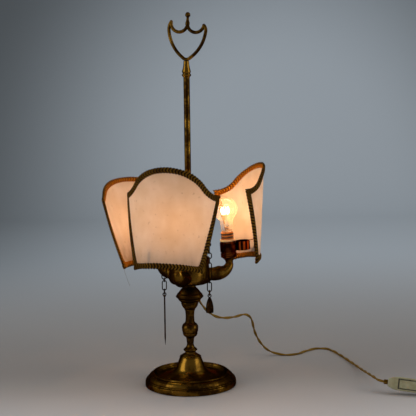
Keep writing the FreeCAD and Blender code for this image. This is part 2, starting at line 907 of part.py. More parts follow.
def bulb_filament(place, neck, centre):
    """The glass stem on the cap, two support wires and the filament between their tips."""
    stem = Part.makeCone(4.2, 1.8, centre - neck - 17.0, Vector(0, 0, neck))
    top = Vector(0, 0, centre - 17.5)
    tips = [Vector(side * 8.0, 0, centre) for side in (-1, 1)]
    bars = [round_bar(top, tip, 0.35) for tip in tips]
    crown = Part.Arc(tips[0], Vector(0, 0, centre + 6.0), tips[1])
    filament = pipe_along([crown], 0.4)
    light = stem.fuse(bars + [filament])
    light.Placement = place
    return light


# Shades: a parchment sheet bent to a part cylinder, bound with braid, on a spring clip.

shade_places = {
    "1": {"swivel": 3.7, "reach": 55.9, "slide": -6.5, "drop": 30.9, "lean": 9.5, "roll": -5.6},
    "2": {"swivel": 4.0, "reach": 55.2, "slide": -10.5, "drop": 24.8, "lean": 5.7, "roll": -1.8},
    "3": {"swivel": -17.2, "reach": 67.6, "slide": 14.5, "drop": 54.9, "lean": 28.7, "roll": -5.1},
}
# The way that each clip's tab points, from its holder's own direction.
clip_headings = {"1": 3.7, "2": -36.0, "3": -17.2}


def flat_outline():
    """The sheet as it was cut: (along the width, up) before it was bent."""
    arch = mm.sheet_bottom_arch.value
    bottom, top = mm.sheet_bottom_half.value, mm.sheet_top_half.value
    dome, half = mm.dome_radius.value, mm.dome_half.value
    peak, shoulder = mm.sheet_peak.value, mm.sheet_shoulder.value
    fall = dome - math.sqrt(dome * dome - half * half)
    joint = Vector(half, peak - fall, 0)
    tangent = Vector(math.sqrt(dome * dome - half * half), -half, 0).normalize()
    flare = arc_from(joint, tangent, Vector(top, shoulder, 0))
    middle = flare.value((flare.FirstParameter + flare.LastParameter) / 2)

    def mirrored(point):
        return Vector(-point.x, point.y, 0)

    corner = Vector(bottom, -arch, 0)
    tip = Vector(top, shoulder, 0)
    return Part.Wire([edge.toShape() for edge in (
        Part.Arc(mirrored(corner), Vector(0, 0, 0), corner),
        Part.LineSegment(corner, tip),
        Part.Arc(tip, middle, joint),
        Part.Arc(joint, Vector(0, peak, 0), mirrored(joint)),
        Part.Arc(mirrored(joint), mirrored(middle), mirrored(tip)),
        Part.LineSegment(mirrored(tip), mirrored(corner)),
    )])


def wrapped_prism(wires):
    """Bends flat wires round the shade's cylinder and extrudes their front view."""
    curve = mm.sheet_curve_radius.value
    bent = []
    for wire in wires:
        edges = []
        for edge in wire.OrderedEdges:
            flat = edge.discretize(Number=9)
            if not edge.Vertexes[0].Point.isEqual(flat[0], 1e-6):
                flat.reverse()
            front = [Vector(0, curve * math.sin(point.x / curve), point.y) for point in flat]
            line = Part.BSplineCurve()
            line.interpolate(front)
            edges.append(line.toShape())
        bent.append(Part.Wire(Part.__sortEdges__(edges)))
    face = Part.makeFace(bent, "Part::FaceMakerBullseye")
    face.translate(Vector(-curve, 0, 0))
    return face.extrude(Vector(curve + 10, 0, 0))


def curved_wall(name, thickness):
    """A tube's wall, centred behind the sheet, whose middle passes the frame's origin."""
    curve = mm.sheet_curve_radius
    low = as_size(mm.sheet_bottom_arch) + 10
    height = mm.sheet_peak + low + 10
    place = moved(-curve.value, 0, -low.value)
    outer = cylinder(name + "Outer", curve + thickness / 2, height, place)
    inner = cylinder(name + "Inner", curve - thickness / 2, height, place)
    return cut(name, outer, inner)


def sheet_frame(name, angle):
    """The sheet's place: its bottom centre, with X out from the holder."""
    spot = shade_places[name]
    place = holder_frame(angle).multiply(about(z_axis, spot["swivel"]))
    height = clip_lift.value + mm.clip_height.value
    place = place.multiply(moved(spot["reach"], spot["slide"], height))
    place = place.multiply(about(y_axis, spot["lean"])).multiply(about(x_axis, spot["roll"]))
    return place.multiply(moved(0, 0, -spot["drop"]))


def make_shades():
    flat = flat_outline()
    outer = flat.makeOffset2D(mm.braid_overhang.value, 2)
    inner = flat.makeOffset2D(mm.braid_overhang.value - mm.braid_width.value, 2)
    for name, angle in zip(nozzle_names, nozzle_angles):
        place = sheet_frame(name, angle)
        cut_out = doc.addObject("Part::Feature", "SheetPrism" + name)
        cut_out.Shape = wrapped_prism([flat])
        wall = curved_wall("SheetWall" + name, mm.sheet_thickness)
        finish(common("parchment_" + name, [wall, cut_out]), "parchment_" + name, place)

        band = doc.addObject("Part::Feature", "BraidPrism" + name)
        band.Shape = wrapped_prism([outer, inner])
        thick = mm.sheet_thickness + mm.braid_thickness * 2
        braid_wall = curved_wall("BraidWall" + name, thick)
        folded = common("BraidFold" + name, [braid_wall, band])
        slot_wall = curved_wall("SlotWall" + name, mm.sheet_thickness)
        slot_prism = doc.addObject("Part::Feature", "SlotPrism" + name)
        slot_prism.Shape = wrapped_prism([flat])
        slot = common("BraidSlot" + name, [slot_wall, slot_prism])
        finish(cut("shade_braid_" + name, folded, slot), "shade_braid_" + name, place)
        make_clip(name, angle)


def sheet_point(across, up):
    """A point of the bent sheet's middle, in the sheet's own frame, with X square to it."""
    curve = mm.sheet_curve_radius.value
    turn = across / curve
    point = Vector(curve * (math.cos(turn) - 1), curve * math.sin(turn), up)
    return Placement(point, Rotation(z_axis, math.degrees(turn)))


def make_clip(name, angle):
    """A band round the holder, a spring loop beside it and a tab that grips the sheet."""
    inside = mm.shell_radius + mm.clip_clearance
    loop = mm.clip_loop_radius
    low = clip_lift
    loop_centre = inside + mm.clip_sheet + loop - 0.5
    pieces = []
    for index, centre, radius in ((0, as_size(0), inside), (1, loop_centre, loop - mm.clip_sheet)):
        place = moved(centre.value, 0, low.value)
        outer = cylinder("Band" + name, radius + mm.clip_sheet, mm.clip_height, place)
        inner = cylinder("BandBore" + name, radius, mm.clip_height, place)
        for part in (outer, inner):
            part.setExpression("Placement.Base.x", centre.text)
            part.setExpression("Placement.Base.z", low.text)
        pieces.append(cut("BandRing" + name + str(index), outer, inner))

    top = clip_lift.value + mm.clip_height.value
    plate = mm.clip_sheet.value
    width, height = mm.clip_plate_width.value, mm.clip_plate_height.value
    place = holder_frame(angle).multiply(about(z_axis, clip_headings[name]))
    sheet_here = place.inverse().multiply(sheet_frame(name, angle))
    up = shade_places[name]["drop"] - height / 2 + plate
    least, most = -mm.sheet_bottom_half.value, mm.sheet_bottom_half.value
    for _ in range(40):
        across = (least + most) / 2
        if sheet_here.multiply(sheet_point(across, up)).Base.y > 0:
            most = across
        else:
            least = across
    foot = sheet_here.multiply(sheet_point(across, up))
    inner_face = mm.sheet_thickness.value / 2 + 0.3 + plate
    pieces.append(box("Grip" + name, plate, width, height,
                      foot.multiply(moved(-inner_face, -width / 2, -height / 2))))
    start = loop_centre.value + loop.value - plate * 1.45
    seat = foot.multVec(Vector(-inner_face + plate * 0.7, 0, 0))
    facing = foot.Rotation.multVec(x_axis)
    reaches = []
    for side in (-width / 2, width / 2):
        for level in (top - plate, top):
            beside = facing.y * (side - seat.y) + facing.z * (level - seat.z)
            reaches.append(seat.x - beside / facing.x)
    pieces.append(box("Tab" + name, min(reaches) - start, width, plate,
                      moved(start, -width / 2, top - plate)))
    finish(fuse("shade_clip_" + name, pieces), "shade_clip_" + name, place)


# Rod, handle and finial.

def make_rod():
    top = mm.rod_top
    radius = rod_radius
    bore = rod_bore_radius
    turned("rod", [
        (bore, lid_top),
        (radius + 3.0, lid_top),
        (radius + 3.2, lid_top + 2.4, 0.2),
        (radius + 1.4, lid_top + 4.2, 0.1),
        (radius, lid_top + 7.0, -0.15),
        (radius - 0.2, top - 28.6),
        (radius + 1.4, top - 27.4, 0.1),
        (radius + 1.6, top - 23.4, 0.25),
        (radius + 0.6, top - 22.4, 0.1),
        (radius + 0.6, top - 21.6),
        (radius + 1.8, top - 20.4, 0.15),
        (radius + 1.8, top - 17.6, 0.1),
        (radius - 0.9, top - 1.0, -0.04),
        (radius - 1.6, top, 0.2),
        (0, top),
        (0, lid_top + mm.rod_socket_depth),
        (bore, lid_top + mm.rod_socket_depth),
    ])


def handle_frame():
    place = moved(0, 0, mm.rod_top.value + mm.handle_wire_radius.value - 0.4)
    place = place.multiply(about(z_axis, mm.handle_turn.value))
    return place.multiply(about(y_axis, -mm.handle_lean.value))


def make_handle():
    """A shield of round wire: a round foot, horned shoulders and two scallops on top."""
    half, height = mm.handle_half_width.value, mm.handle_height.value
    wire = mm.handle_wire_radius.value
    peak = Vector(0, 0, height - 4.0)
    turn_in = Vector(half * 0.2, 0, height * 0.045)
    arcs = [Part.Arc(Vector(-turn_in.x, 0, turn_in.z), Vector(0, 0, 0), turn_in)]
    for side, drop in ((-1, 0), (1, 5.0)):
        foot = Vector(side * turn_in.x, 0, turn_in.z)
        waist = Vector(side * half * 0.74, 0, height * 0.35)
        widest = Vector(side * half, 0, height * 0.73)
        horn = Vector(side * half * 0.90, 0, height - drop)
        scallop = Vector(side * half * 0.45, 0, height * 0.73)
        arcs.append(Part.Arc(foot, waist, widest))
        arcs.append(Part.Arc(widest, Vector(side * half, 0, height * 0.87 - drop / 2), horn))
        arcs.append(Part.Arc(horn, scallop, peak))
    bars = [pipe_along([arc], wire) for arc in arcs]
    knuckles = {}
    for arc in arcs:
        for parameter in (arc.FirstParameter, arc.LastParameter):
            point = arc.value(parameter)
            knuckles[(round(point.x, 3), round(point.z, 3))] = Part.makeSphere(wire, point)
    boss = Part.makeCylinder(3.9, wire + 1.3, peak - Vector(0, 0, 1))
    shape = bars[0].multiFuse(bars[1:] + list(knuckles.values()) + [boss])
    rod_end = Part.makeCylinder(20, 30, Vector(0, 0, -30 - wire + 0.4))
    place = handle_frame()
    shape.Placement = place
    rod_end.Placement = moved(0, 0, mm.rod_top.value + wire - 0.4)
    shaped("handle", shape.cut(rod_end))

    neck = height - 4.0 + wire + 0.3
    finial_place = handle_frame().multiply(moved(0, 0, neck))
    total = mm.finial_height
    ball = mm.ball_radius
    turned("finial", [
        (0, 0),
        (3.9, 0),
        (3.1, 2.6, -0.1),
        (2.5, total - ball * 2, -0.05),
        (3.2, total - ball * 2 + 0.7),
        (ball, total - ball, 0.18),
        (1.2, total - 0.16, 0.16),
        (0, total - 0.16),
    ], finial_place)


# Tools on chains of wire links, hung from three hooks on the lid.

hook_places = {
    "extinguisher": {"azimuth": -39.8, "chain_turn": -15.0},
    "needle": {"azimuth": -168.0, "chain_turn": 12.0},
    "tweezers": {"azimuth": 97.0, "chain_turn": 97.0},
}
# Outer height, outer width and whether the link is seen broadside, from the hook down.
links = (
    (18.0, 7.2, False),
    (13.0, 10.8, True),
    (13.0, 7.0, False),
    (35.0, 10.4, True),
    (8.5, 6.8, False),
    (19.5, 9.6, True),
    (11.0, 6.6, False),
)


def oval_link(height, width, wire):
    """One link in the XZ plane, centred on the origin: two straights and two half rounds."""
    half = width / 2 - wire
    straight = height / 2 - wire - half
    right, left = half, -half
    top, low = straight, -straight
    edges = [
        Part.LineSegment(Vector(right, 0, low), Vector(right, 0, top)),
        Part.Arc(Vector(right, 0, top), Vector(0, 0, top + half), Vector(left, 0, top)),
        Part.LineSegment(Vector(left, 0, top), Vector(left, 0, low)),
        Part.Arc(Vector(left, 0, low), Vector(0, 0, low - half), Vector(right, 0, low)),
    ]
    if straight < 0.05:
        return Part.makeTorus(half, wire, Vector(0, 0, 0), y_axis)
    return pipe_along(edges, wire)


def hook_point(tool):
    """Where a chain hangs: the top of the inside of its hook's eye, seen from above."""
    azimuth = math.radians(hook_places[tool]["azimuth"])
    reach = hook_reach.value
    height = bowl_top.value + 28.0
    return Vector(reach * math.cos(azimuth), reach * math.sin(azimuth), height)


def make_hooks():
    """Each hook is a wire that stands on the lid's flange and bends out to an eye."""
    wire = mm.hook_wire_radius.value
    eye = mm.hook_eye_radius.value
    shapes = []
    for tool, spot in hook_places.items():
        centre = hook_point(tool) + Vector(0, 0, eye - wire)
        out = Vector(centre.x, centre.y, 0).normalize()
        foot = out * (mm.bowl_radius.value - 3.2)
        foot.z = bowl_top.value + mm.lid_flange.value
        knee = Vector(foot.x, foot.y, centre.z - 10.0)
        end = centre - out * (eye + wire * 0.2)
        bend = arc_from(knee, z_axis, end)
        stem = pipe_along([Part.LineSegment(foot, knee), bend], wire)
        turn = Rotation(z_axis, spot["chain_turn"])
        ring = Part.makeTorus(eye, wire, centre, turn.multVec(y_axis))
        shapes.append(stem.fuse([ring, Part.makeSphere(wire, end)]))
    shaped("chain_hooks", Part.makeCompound(shapes))


def make_chain(tool):
    """Hangs the links under the hook and returns the height that the tool hangs from."""
    wire = mm.link_wire_radius.value
    gap = mm.link_gap.value
    seat = hook_point(tool).z
    shapes = []
    for height, width, broadside in links:
        link = oval_link(height, width, wire)
        if not broadside:
            link.rotate(Vector(0, 0, 0), z_axis, 90)
        link.translate(Vector(0, 0, seat + gap + 2 * wire - height / 2))
        shapes.append(link)
        seat = seat + gap + 4 * wire - height
    spot = hook_point(tool)
    place = Placement(Vector(spot.x, spot.y, 0), Rotation(z_axis, hook_places[tool]["chain_turn"]))
    shaped(tool + "_chain", Part.makeCompound(shapes), place)
    return seat, place


def tool_eye(seat):
    """The eye that the last link holds, broadside, with its lowest point at zero height."""
    wire = mm.link_wire_radius.value
    radius = mm.tool_eye_radius.value
    centre = seat + mm.link_gap.value + wire - radius
    return Part.makeTorus(radius, wire, Vector(0, 0, centre), y_axis), centre - radius


def make_tools():
    make_hooks()
    make_extinguisher(*make_chain("extinguisher"))
    make_needle(*make_chain("needle"))
    make_tweezers(*make_chain("tweezers"))


def make_extinguisher(seat, place):
    """A small bell that snuffs a flame, open below."""
    eye, top = tool_eye(seat)
    wall = mm.extinguisher_wall.value
    height, radius = mm.extinguisher_height.value, mm.extinguisher_radius.value
    edge = top - height

    def bell(spare):
        crown = top - spare + 0.4
        side = Part.Arc(Vector(1.6, 0, crown), Vector(radius * 0.74 - spare, 0, top - height * 0.3),
                        Vector(radius - spare, 0, edge))
        outline = [
            Part.LineSegment(Vector(0, 0, edge), Vector(0, 0, crown)),
            Part.LineSegment(Vector(0, 0, crown), Vector(1.6, 0, crown)),
            side,
            Part.LineSegment(Vector(radius - spare, 0, edge), Vector(0, 0, edge)),
        ]
        face = Part.Face(Part.Wire([line.toShape() for line in outline]))
        return face.revolve(Vector(0, 0, 0), z_axis, 360)

    shaped("extinguisher", bell(0).cut(bell(wall)).fuse(eye), place)


def make_needle(seat, place):
    """The pricker for the wick: a long pin under its eye, tapered to a point."""
    eye, top = tool_eye(seat)
    length, radius = mm.needle_length.value, mm.needle_radius.value
    shank = Part.makeCylinder(radius, length - 14, Vector(0, 0, top - length + 14))
    collar = Part.makeSphere(radius * 1.7, Vector(0, 0, top - 0.2))
    tip = Part.makeCone(0.25, radius, 14, Vector(0, 0, top - length))
    needle = shank.fuse([tip, collar, eye])
    needle.rotate(Vector(0, 0, seat), y_axis, mm.needle_lean.value)
    shaped("wick_needle", needle, place)


def make_tweezers(seat, place):
    """Two springy legs that are joined at the top and bend in again at their tips."""
    eye, top = tool_eye(seat)
    length, spread = mm.tweezer_length.value, mm.tweezer_spread.value
    legs = []
    for side in (-1, 1):
        knee = Vector(side * spread, 0, top - length * 0.6)
        upper = Part.Arc(Vector(side * 1.3, 0, top), Vector(side * spread * 0.8, 0, top - length * 0.3),
                         knee)
        down = upper.tangent(upper.LastParameter)[0]
        lower = arc_from(knee, down, Vector(side * 1.5, 0, top - length))
        legs.append(pipe_along([upper, lower], 1.05))
    bridge = Part.makeBox(4.8, 2.2, 3.0, Vector(-2.4, -1.1, top - 2.5))
    shaped("tweezers", eye.fuse(legs + [bridge]), place)


# Cord: a tube of straight runs and tangent arcs from the bush to the switch, then a coil.

cord_route = [
    (51.0, 40.0, 117.5),
    (82.0, 68.0, 108.5),
    (108.0, 101.0, 109.5),
    (122.0, 131.0, 93.0),
    (128.0, 158.0, 60.0),
    (141.0, 181.0, 31.0),
    (160.0, 198.0, 8.0),
    (188.0, 190.0, 2.0),
    (216.0, 192.0, 2.0),
    (238.0, 220.0, 2.0),
    (260.0, 240.0, 2.0),
    (280.0, 240.0, 2.0),
    (293.0, 224.0, 2.0),
    (302.0, 193.0, 2.0),
    (315.0, 142.0, 2.0),
    (325.6, 69.5, 5.5),
    (328.5, 15.7, 12.5),
    (333.2, -47.7, 20.5),
]
switch_nose = Vector(345.6, -78.8, 20.6)


def tangent_path(points, name):
    """Straight runs joined by arcs as large as the shorter run beside each point allows."""
    edges = []
    radii = []
    last = points[0]
    for before, corner, after in zip(points, points[1:], points[2:]):
        arriving, leaving = (corner - before), (after - corner)
        take = 0.45 * min(arriving.Length, leaving.Length)
        arriving.normalize()
        leaving.normalize()
        turn = math.acos(max(-1.0, min(1.0, arriving.dot(leaving))))
        radius = take / math.tan(turn / 2)
        radii.append(radius)
        start, end = corner - arriving * take, corner + leaving * take
        inwards = (leaving - arriving).normalize()
        middle = corner + inwards * (radius / math.cos(turn / 2) - radius)
        edges.append(Part.LineSegment(last, start))
        edges.append(Part.Arc(start, middle, end))
        last = end
    edges.append(Part.LineSegment(last, points[-1]))
    print(name, "arc radii", [round(radius, 1) for radius in radii])
    return edges


def path_length(edges):
    return sum(edge.length() for edge in edges)


def report_tube(name, shape, edges):
    """Compares the tube's volume with its section times its length."""
    section = math.pi * mm.cord_radius.value ** 2
    length = path_length(edges)
    print(name, "length", round(length, 1), "volume ratio",
          round(shape.Volume / (section * length), 4))


def switch_frame():
    """The switch lies on its long side: X along the cord, Z out of its control face."""
    place = Placement(switch_nose, Rotation(z_axis, mm.switch_heading.value))
    place = place.multiply(about(y_axis, mm.switch_pitch.value))
    return place.multiply(about(x_axis, 90 - mm.switch_roll.value))


def make_cord(bush_mouth):
    along = switch_frame().Rotation.multVec(x_axis)
    points = [bush_mouth.multVec(Vector(0, 0, height)) for height in (-3.0, 15.0)]
    points += [Vector(*point) for point in cord_route]
    points += [switch_nose - along * 8.5, switch_nose + along * 7.0]
    edges = tangent_path(points, "cord_run")
    tube = pipe_along(edges, mm.cord_radius.value)
    report_tube("cord_run", tube, edges)
    shaped("cord_run", tube)


def switch_outline(spare):
    """The switch from its control face: a long body with tapered ends."""
    length = mm.switch_length - spare
    half, end = mm.switch_width / 2 - spare, mm.switch_end_width / 2 - spare
    near = as_size(spare)
    taper = mm.switch_taper
    return [
        (near, -end),
        (near + taper, -half, 0.06),
        (length - taper, -half),
        (length, -end, 0.06),
        (length, end),
        (length - taper, half, 0.06),
        (near + taper, half),
        (near, end, 0.06),
    ]


def make_switch():
    """Two shells that meet at mid thickness, a rocker in the cover and a gland at each end."""
    place = switch_frame().multiply(moved(mm.gland_length.value, 0, 0))
    half = mm.switch_thickness / 2
    wall = mm.switch_wall
    middle = mm.switch_length / 2
    window_long = mm.rocker_length / 2 + mm.rocker_gap
    window_wide = mm.rocker_width / 2 + mm.rocker_gap

    base = new_body("switch_base")
    sketch = new_sketch(base, "XY_Plane", "Outline")
    draw_outline(sketch, switch_outline(0))
    pad(base, sketch, half).Reversed = True
    hollow = new_sketch(base, "XY_Plane", "Inside")
    draw_outline(hollow, switch_outline(wall))
    pocket(base, hollow, half - wall, "Hollow")
    round_far_face(base, "XMin", -half.value)
    cut_gland_hole(base)
    finish(base, "switch_base", place)

    cover = new_body("switch_cover")
    sketch = new_sketch(cover, "XY_Plane", "Outline")
    draw_outline(sketch, switch_outline(0))
    pad(cover, sketch, half)
    hollow = new_sketch(cover, "XY_Plane", "Inside")
    draw_outline(hollow, switch_outline(wall))
    pocket(cover, hollow, half - wall, "Hollow", reverse=True)
    round_far_face(cover, "XMax", half.value)
    ears = new_sketch(cover, "XY_Plane", "Ears")
    for side in (-1, 1):
        near, far = window_wide * side, (window_wide + 1.4) * side
        draw_outline(ears, [
            (middle - 4, near), (middle + 4, near), (middle + 4, far), (middle - 4, far)])
    pad(cover, ears, half - wall / 2, "EarPads")
    window = new_sketch(cover, "XY_Plane", "Window")
    draw_outline(window, [
        (middle - window_long, -window_wide), (middle + window_long, -window_wide),
        (middle + window_long, window_wide), (middle - window_long, window_wide)])
    pocket(cover, window, half + 1, "WindowCut", reverse=True)
    pivot = new_sketch(cover, "XZ_Plane", "Pivot")
    draw_circle(pivot, middle, half - 4.4, 1.2)
    pocket(cover, pivot, window_wide * 2 + 2.0, "PivotHoles", midplane=True)
    cut_gland_hole(cover)
    finish(cover, "switch_cover", place)

    rocker = new_body("switch_rocker")
    sketch = new_sketch(rocker, "XZ_Plane", "Side")
    reach = mm.rocker_length / 2
    draw_outline(sketch, [
        (middle - reach, half - 2.6),
        (middle - reach * 0.8, half - 6.2, 0.05),
        (middle + reach * 0.8, half - 6.2),
        (middle + reach, half - 2.6, 0.05),
        (middle + reach, half + 0.9),
        (middle - reach, half + 0.9, -0.02),
    ])
    pad(rocker, sketch, mm.rocker_width, "RockerPad", midplane=True)
    pins = new_sketch(rocker, "XZ_Plane", "Pins")
    draw_circle(pins, middle, half - 4.4, 1.0)
    pad(rocker, pins, mm.rocker_width + 2.2, "PinPad", midplane=True)
    finish(rocker, "switch_rocker", place)

    glands = []
    bore = mm.cord_radius.value + mm.cord_clearance.value
    outer = bore + mm.gland_wall.value
    length = mm.gland_length.value
    for x in (0, length + mm.switch_length.value):
        shell = Part.makeCylinder(outer, length, Vector(x, 0, 0), x_axis)
        hole = Part.makeCylinder(bore, length, Vector(x, 0, 0), x_axis)
        glands.append(shell.cut(hole))
    shaped("switch_glands", Part.makeCompound(glands), switch_frame())


def round_far_face(body, side, height):
    """Rounds the edges round the shell's broad outer face."""
    doc.recompute()
    whole = body.Tip
    names = []
    for index, edge in enumerate(whole.Shape.Edges):
        if all(abs(vertex.Point.z - height) < 0.01 for vertex in edge.Vertexes):
            names.append("Edge" + str(index + 1))
    fillet = body.newObject("PartDesign::Fillet", "Round" + side)
    fillet.Base = (whole, names)
    bind(fillet, Radius=mm.switch_wall * 0.9)


def cut_gland_hole(body):
    """A round way for the cord through both ends."""
    hole = new_sketch(body, "YZ_Plane", "CordWay")
    draw_circle(hole, 0, 0, mm.cord_radius + 0.2)
    feature = pocket(body, hole, mm.switch_length + 2, "CordWayCut", reverse=True)
    feature.Midplane = False


def coil_point(turned_angle, centre, start_angle):
    """A point of the coil: the radius steps in and out and each reversal climbs a layer."""
    layers = int(mm.coil_layers.value)
    span = 2 * math.pi * mm.coil_turns.value / layers
    side_rate = coil_side_step.value / (2 * math.pi)
    widest = mm.coil_radius.value + side_rate * span / 2
    climb = coil_layer_step.value
    nearest = min(max(int(round(turned_angle / span)), 1), layers - 1)
    offset = turned_angle - nearest * span
    layer = min(int(turned_angle / span), layers - 1)
    within = turned_angle - layer * span
    inwards = within if layer % 2 == 0 else span - within
    height = climb * layer
    if abs(offset) < math.pi / 2:
        soft = offset * offset / math.pi + math.pi / 4
        inwards = span - soft if nearest % 2 else soft
        height = climb * (nearest - 1 + (1 + math.sin(offset)) / 2)
    radius = widest - side_rate * inwards
    angle = start_angle + turned_angle
    floor = mm.cord_radius.value + 0.2
    return Vector(centre.x + radius * math.cos(angle), centre.y + radius * math.sin(angle),
                  floor + height)


def biarc(start, start_tangent, end, end_tangent):
    """Two arcs that leave start and reach end along the given tangents."""
    chord = end - start
    both = start_tangent + end_tangent
    bend = 2 * (1 - start_tangent.dot(end_tangent))
    along = chord.dot(both)
    reach = (-along + math.sqrt(along * along + bend * chord.dot(chord))) / bend
    middle = (start + end + (start_tangent - end_tangent) * reach) * 0.5
    first = arc_from(start, start_tangent, middle)
    back = arc_from(end, end_tangent * -1, middle)
    points = [back.value(back.FirstParameter + (back.LastParameter - back.FirstParameter) * share)
              for share in (1.0, 0.5, 0.0)]
    return [first, Part.Arc(*points)]


def make_coil():
    """The stored length: a lead from the switch, the neat coil and the lead to the plug."""
    along = switch_frame().Rotation.multVec(x_axis)
    exit_point = switch_nose + along * (mm.switch_length.value + 2 * mm.gland_length.value)
    start_angle = -math.pi / 2
    centre = Vector(exit_point.x + 62.0, exit_point.y - 14.0, 0)
    total = 2 * math.pi * mm.coil_turns.value
    small = 1e-4

    def place_at(angle):
        return coil_point(angle, centre, start_angle)

    def tangent_at(angle):
        low, high = max(0.0, angle - small), min(total, angle + small)
        return (place_at(high) - place_at(low)).normalize()

    edges = []
    straight = exit_point + along * (2 * mm.cord_radius.value)
    edges.append(Part.LineSegment(exit_point, straight))
    entry, entry_tangent = place_at(0.0), tangent_at(0.0)
    halfway = Vector((straight.x + entry.x) / 2, (straight.y + entry.y) / 2 - 4.0, 6.6)
    halfway_tangent = Vector(0.93, -0.3, -0.2).normalize()
    edges += biarc(straight, along, halfway, halfway_tangent)
    edges += biarc(halfway, halfway_tangent, entry, entry_tangent)
    steps = int(round(total / (math.pi / 2)))
    for index in range(steps):
        low, high = total * index / steps, total * (index + 1) / steps
        edges += biarc(place_at(low), tangent_at(low), place_at(high), tangent_at(high))

    leave, leave_tangent = place_at(total), tangent_at(total)
    sideways = Vector(leave_tangent.y, -leave_tangent.x, 0)
    plug_height = mm.plug_thickness.value / 2 + 0.2
    meet = leave + leave_tangent * 46.0 + sideways * 10.0
    meet.z = plug_height
    plug_tangent = Vector(leave_tangent.x, leave_tangent.y, 0).normalize()
    plug_tangent = Rotation(z_axis, -30).multVec(plug_tangent)
    edges += biarc(leave, leave_tangent, meet, plug_tangent)
    plug_start = meet + plug_tangent * (mm.sleeve_length.value + 2 * mm.cord_radius.value)
    edges.append(Part.LineSegment(meet, plug_start))
    tube = pipe_along(edges, mm.cord_radius.value)
    report_tube("cord_coil", tube, edges)
    print("coil least gap", round(least_gap(place_at, total), 3))
    shaped("cord_coil", tube)
    return plug_start, plug_tangent


def least_gap(place_at, total):
    """The least clear distance between turns, from points along the coil's centre line."""
    count = 36 * int(mm.coil_turns.value)
    points = [place_at(total * index / count) for index in range(count + 1)]
    least = None
    for index, point in enumerate(points):
        for other in points[index + 18:]:
            distance = (other - point).Length
            if least is None or distance < least:
                least = distance
    return least - 2 * mm.cord_radius.value


def make_plug(start, tangent):
    """A flat two-pin plug that lies on the table, cord end first."""
    heading = math.degrees(math.atan2(tangent.y, tangent.x))
    place = Placement(start, Rotation(z_axis, heading))
    body = new_body("plug_body")
    sketch = new_sketch(body, "XY_Plane", "Outline", -mm.plug_thickness / 2)
    length, wide, narrow = mm.plug_length, mm.plug_width, mm.plug_width / 2 - 2.2
    broad = mm.pin_spacing / 2 + mm.pin_radius + 2.2
    draw_outline(sketch, [
        (0, -narrow),
        (length * 0.5, -wide / 2, 0.02),
        (length, -broad, -0.06),
        (length, broad),
        (length * 0.5, wide / 2, -0.06),
        (0, narrow, 0.02),
    ])
    pad(body, sketch, mm.plug_thickness)
    doc.recompute()
    block = body.Tip
    edges = []
    for index, edge in enumerate(block.Shape.Edges):
        heights = [abs(abs(vertex.Point.z) - mm.plug_thickness.value / 2) for vertex in edge.Vertexes]
        level = abs(edge.Vertexes[0].Point.z - edge.Vertexes[-1].Point.z) < 0.01
        if max(heights) < 0.01 and level:
            edges.append("Edge" + str(index + 1))
    fillet = body.newObject("PartDesign::Fillet", "Rounds")
    fillet.Base = (block, edges)
    bind(fillet, Radius=mm.plug_thickness * 0.2)
    finish(body, "plug_body", place)
    pins = []
    for side in (-1, 1):
        foot = Vector(mm.plug_length.value, side * mm.pin_spacing.value / 2, 0)
        bar = Part.makeCylinder(mm.pin_radius.value, mm.pin_length.value - 1, foot, x_axis)
        tip = Part.makeCone(mm.pin_radius.value, mm.pin_radius.value - 0.8, 1.0,
                            foot + x_axis * (mm.pin_length.value - 1), x_axis)
        pins.append(bar.fuse(tip))
    shaped("plug_pins", Part.makeCompound(pins), place)

    bore = mm.cord_radius + mm.cord_clearance
    wide = bore + mm.sleeve_wall
    turned("plug_sleeve", [
        (bore, -mm.sleeve_length),
        (bore + 0.8, -mm.sleeve_length),
        (wide, -3.0, -0.02),
        (wide, 0),
        (bore, 0),
    ], place.multiply(about(y_axis, 90)))


def check_and_write():
    """Stops on any failed object or bad shape, then writes one STEP file for each sub-part."""
    doc.recompute()
    for item in doc.Objects:
        if "Invalid" in item.State or "Error" in item.State:
            raise ValueError("failed object " + item.Name)
    for piece in finished:
        shape = piece.Shape
        if shape.isNull() or not shape.isValid() or not shape.Solids:
            raise ValueError("bad shape " + piece.Label)
    os.makedirs("parts", exist_ok=True)
    for piece in finished:
        piece.Shape.exportStep("parts/" + piece.Label + ".step")
        print(piece.Label, len(piece.Shape.Solids), round(piece.Shape.Volume / 1000, 2), "cm3")
    print(len(finished), "sub-parts")


stem_nut_base = make_foot()
stem_knob = make_stem(stem_nut_base)
cord_mouth = make_cord_bush(stem_knob)
make_reservoir()
make_nozzles()
make_wires()
make_lampholders()
make_bulbs()
make_shades()
make_rod()
make_handle()
make_tools()
make_cord(cord_mouth)
make_switch()
plug_point, plug_heading = make_coil()
make_plug(plug_point, plug_heading)
check_and_write()
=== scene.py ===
import json
import math

import bpy
import numpy as np
from mathutils import Matrix, Vector


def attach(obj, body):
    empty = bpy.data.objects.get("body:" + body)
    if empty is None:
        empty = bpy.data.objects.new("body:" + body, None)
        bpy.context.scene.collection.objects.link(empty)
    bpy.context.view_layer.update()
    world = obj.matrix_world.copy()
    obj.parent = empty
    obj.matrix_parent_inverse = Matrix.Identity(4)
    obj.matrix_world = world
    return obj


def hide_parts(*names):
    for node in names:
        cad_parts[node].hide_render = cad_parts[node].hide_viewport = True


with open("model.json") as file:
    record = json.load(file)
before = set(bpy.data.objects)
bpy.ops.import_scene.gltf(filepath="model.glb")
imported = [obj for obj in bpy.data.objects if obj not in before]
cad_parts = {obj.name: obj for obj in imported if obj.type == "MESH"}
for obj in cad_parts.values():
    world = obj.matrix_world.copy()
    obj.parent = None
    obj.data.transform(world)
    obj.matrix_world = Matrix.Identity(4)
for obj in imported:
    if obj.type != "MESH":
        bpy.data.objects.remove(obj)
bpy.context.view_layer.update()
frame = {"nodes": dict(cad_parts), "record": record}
nodes = frame["nodes"]
print("frame loaded:", len(nodes), "nodes")


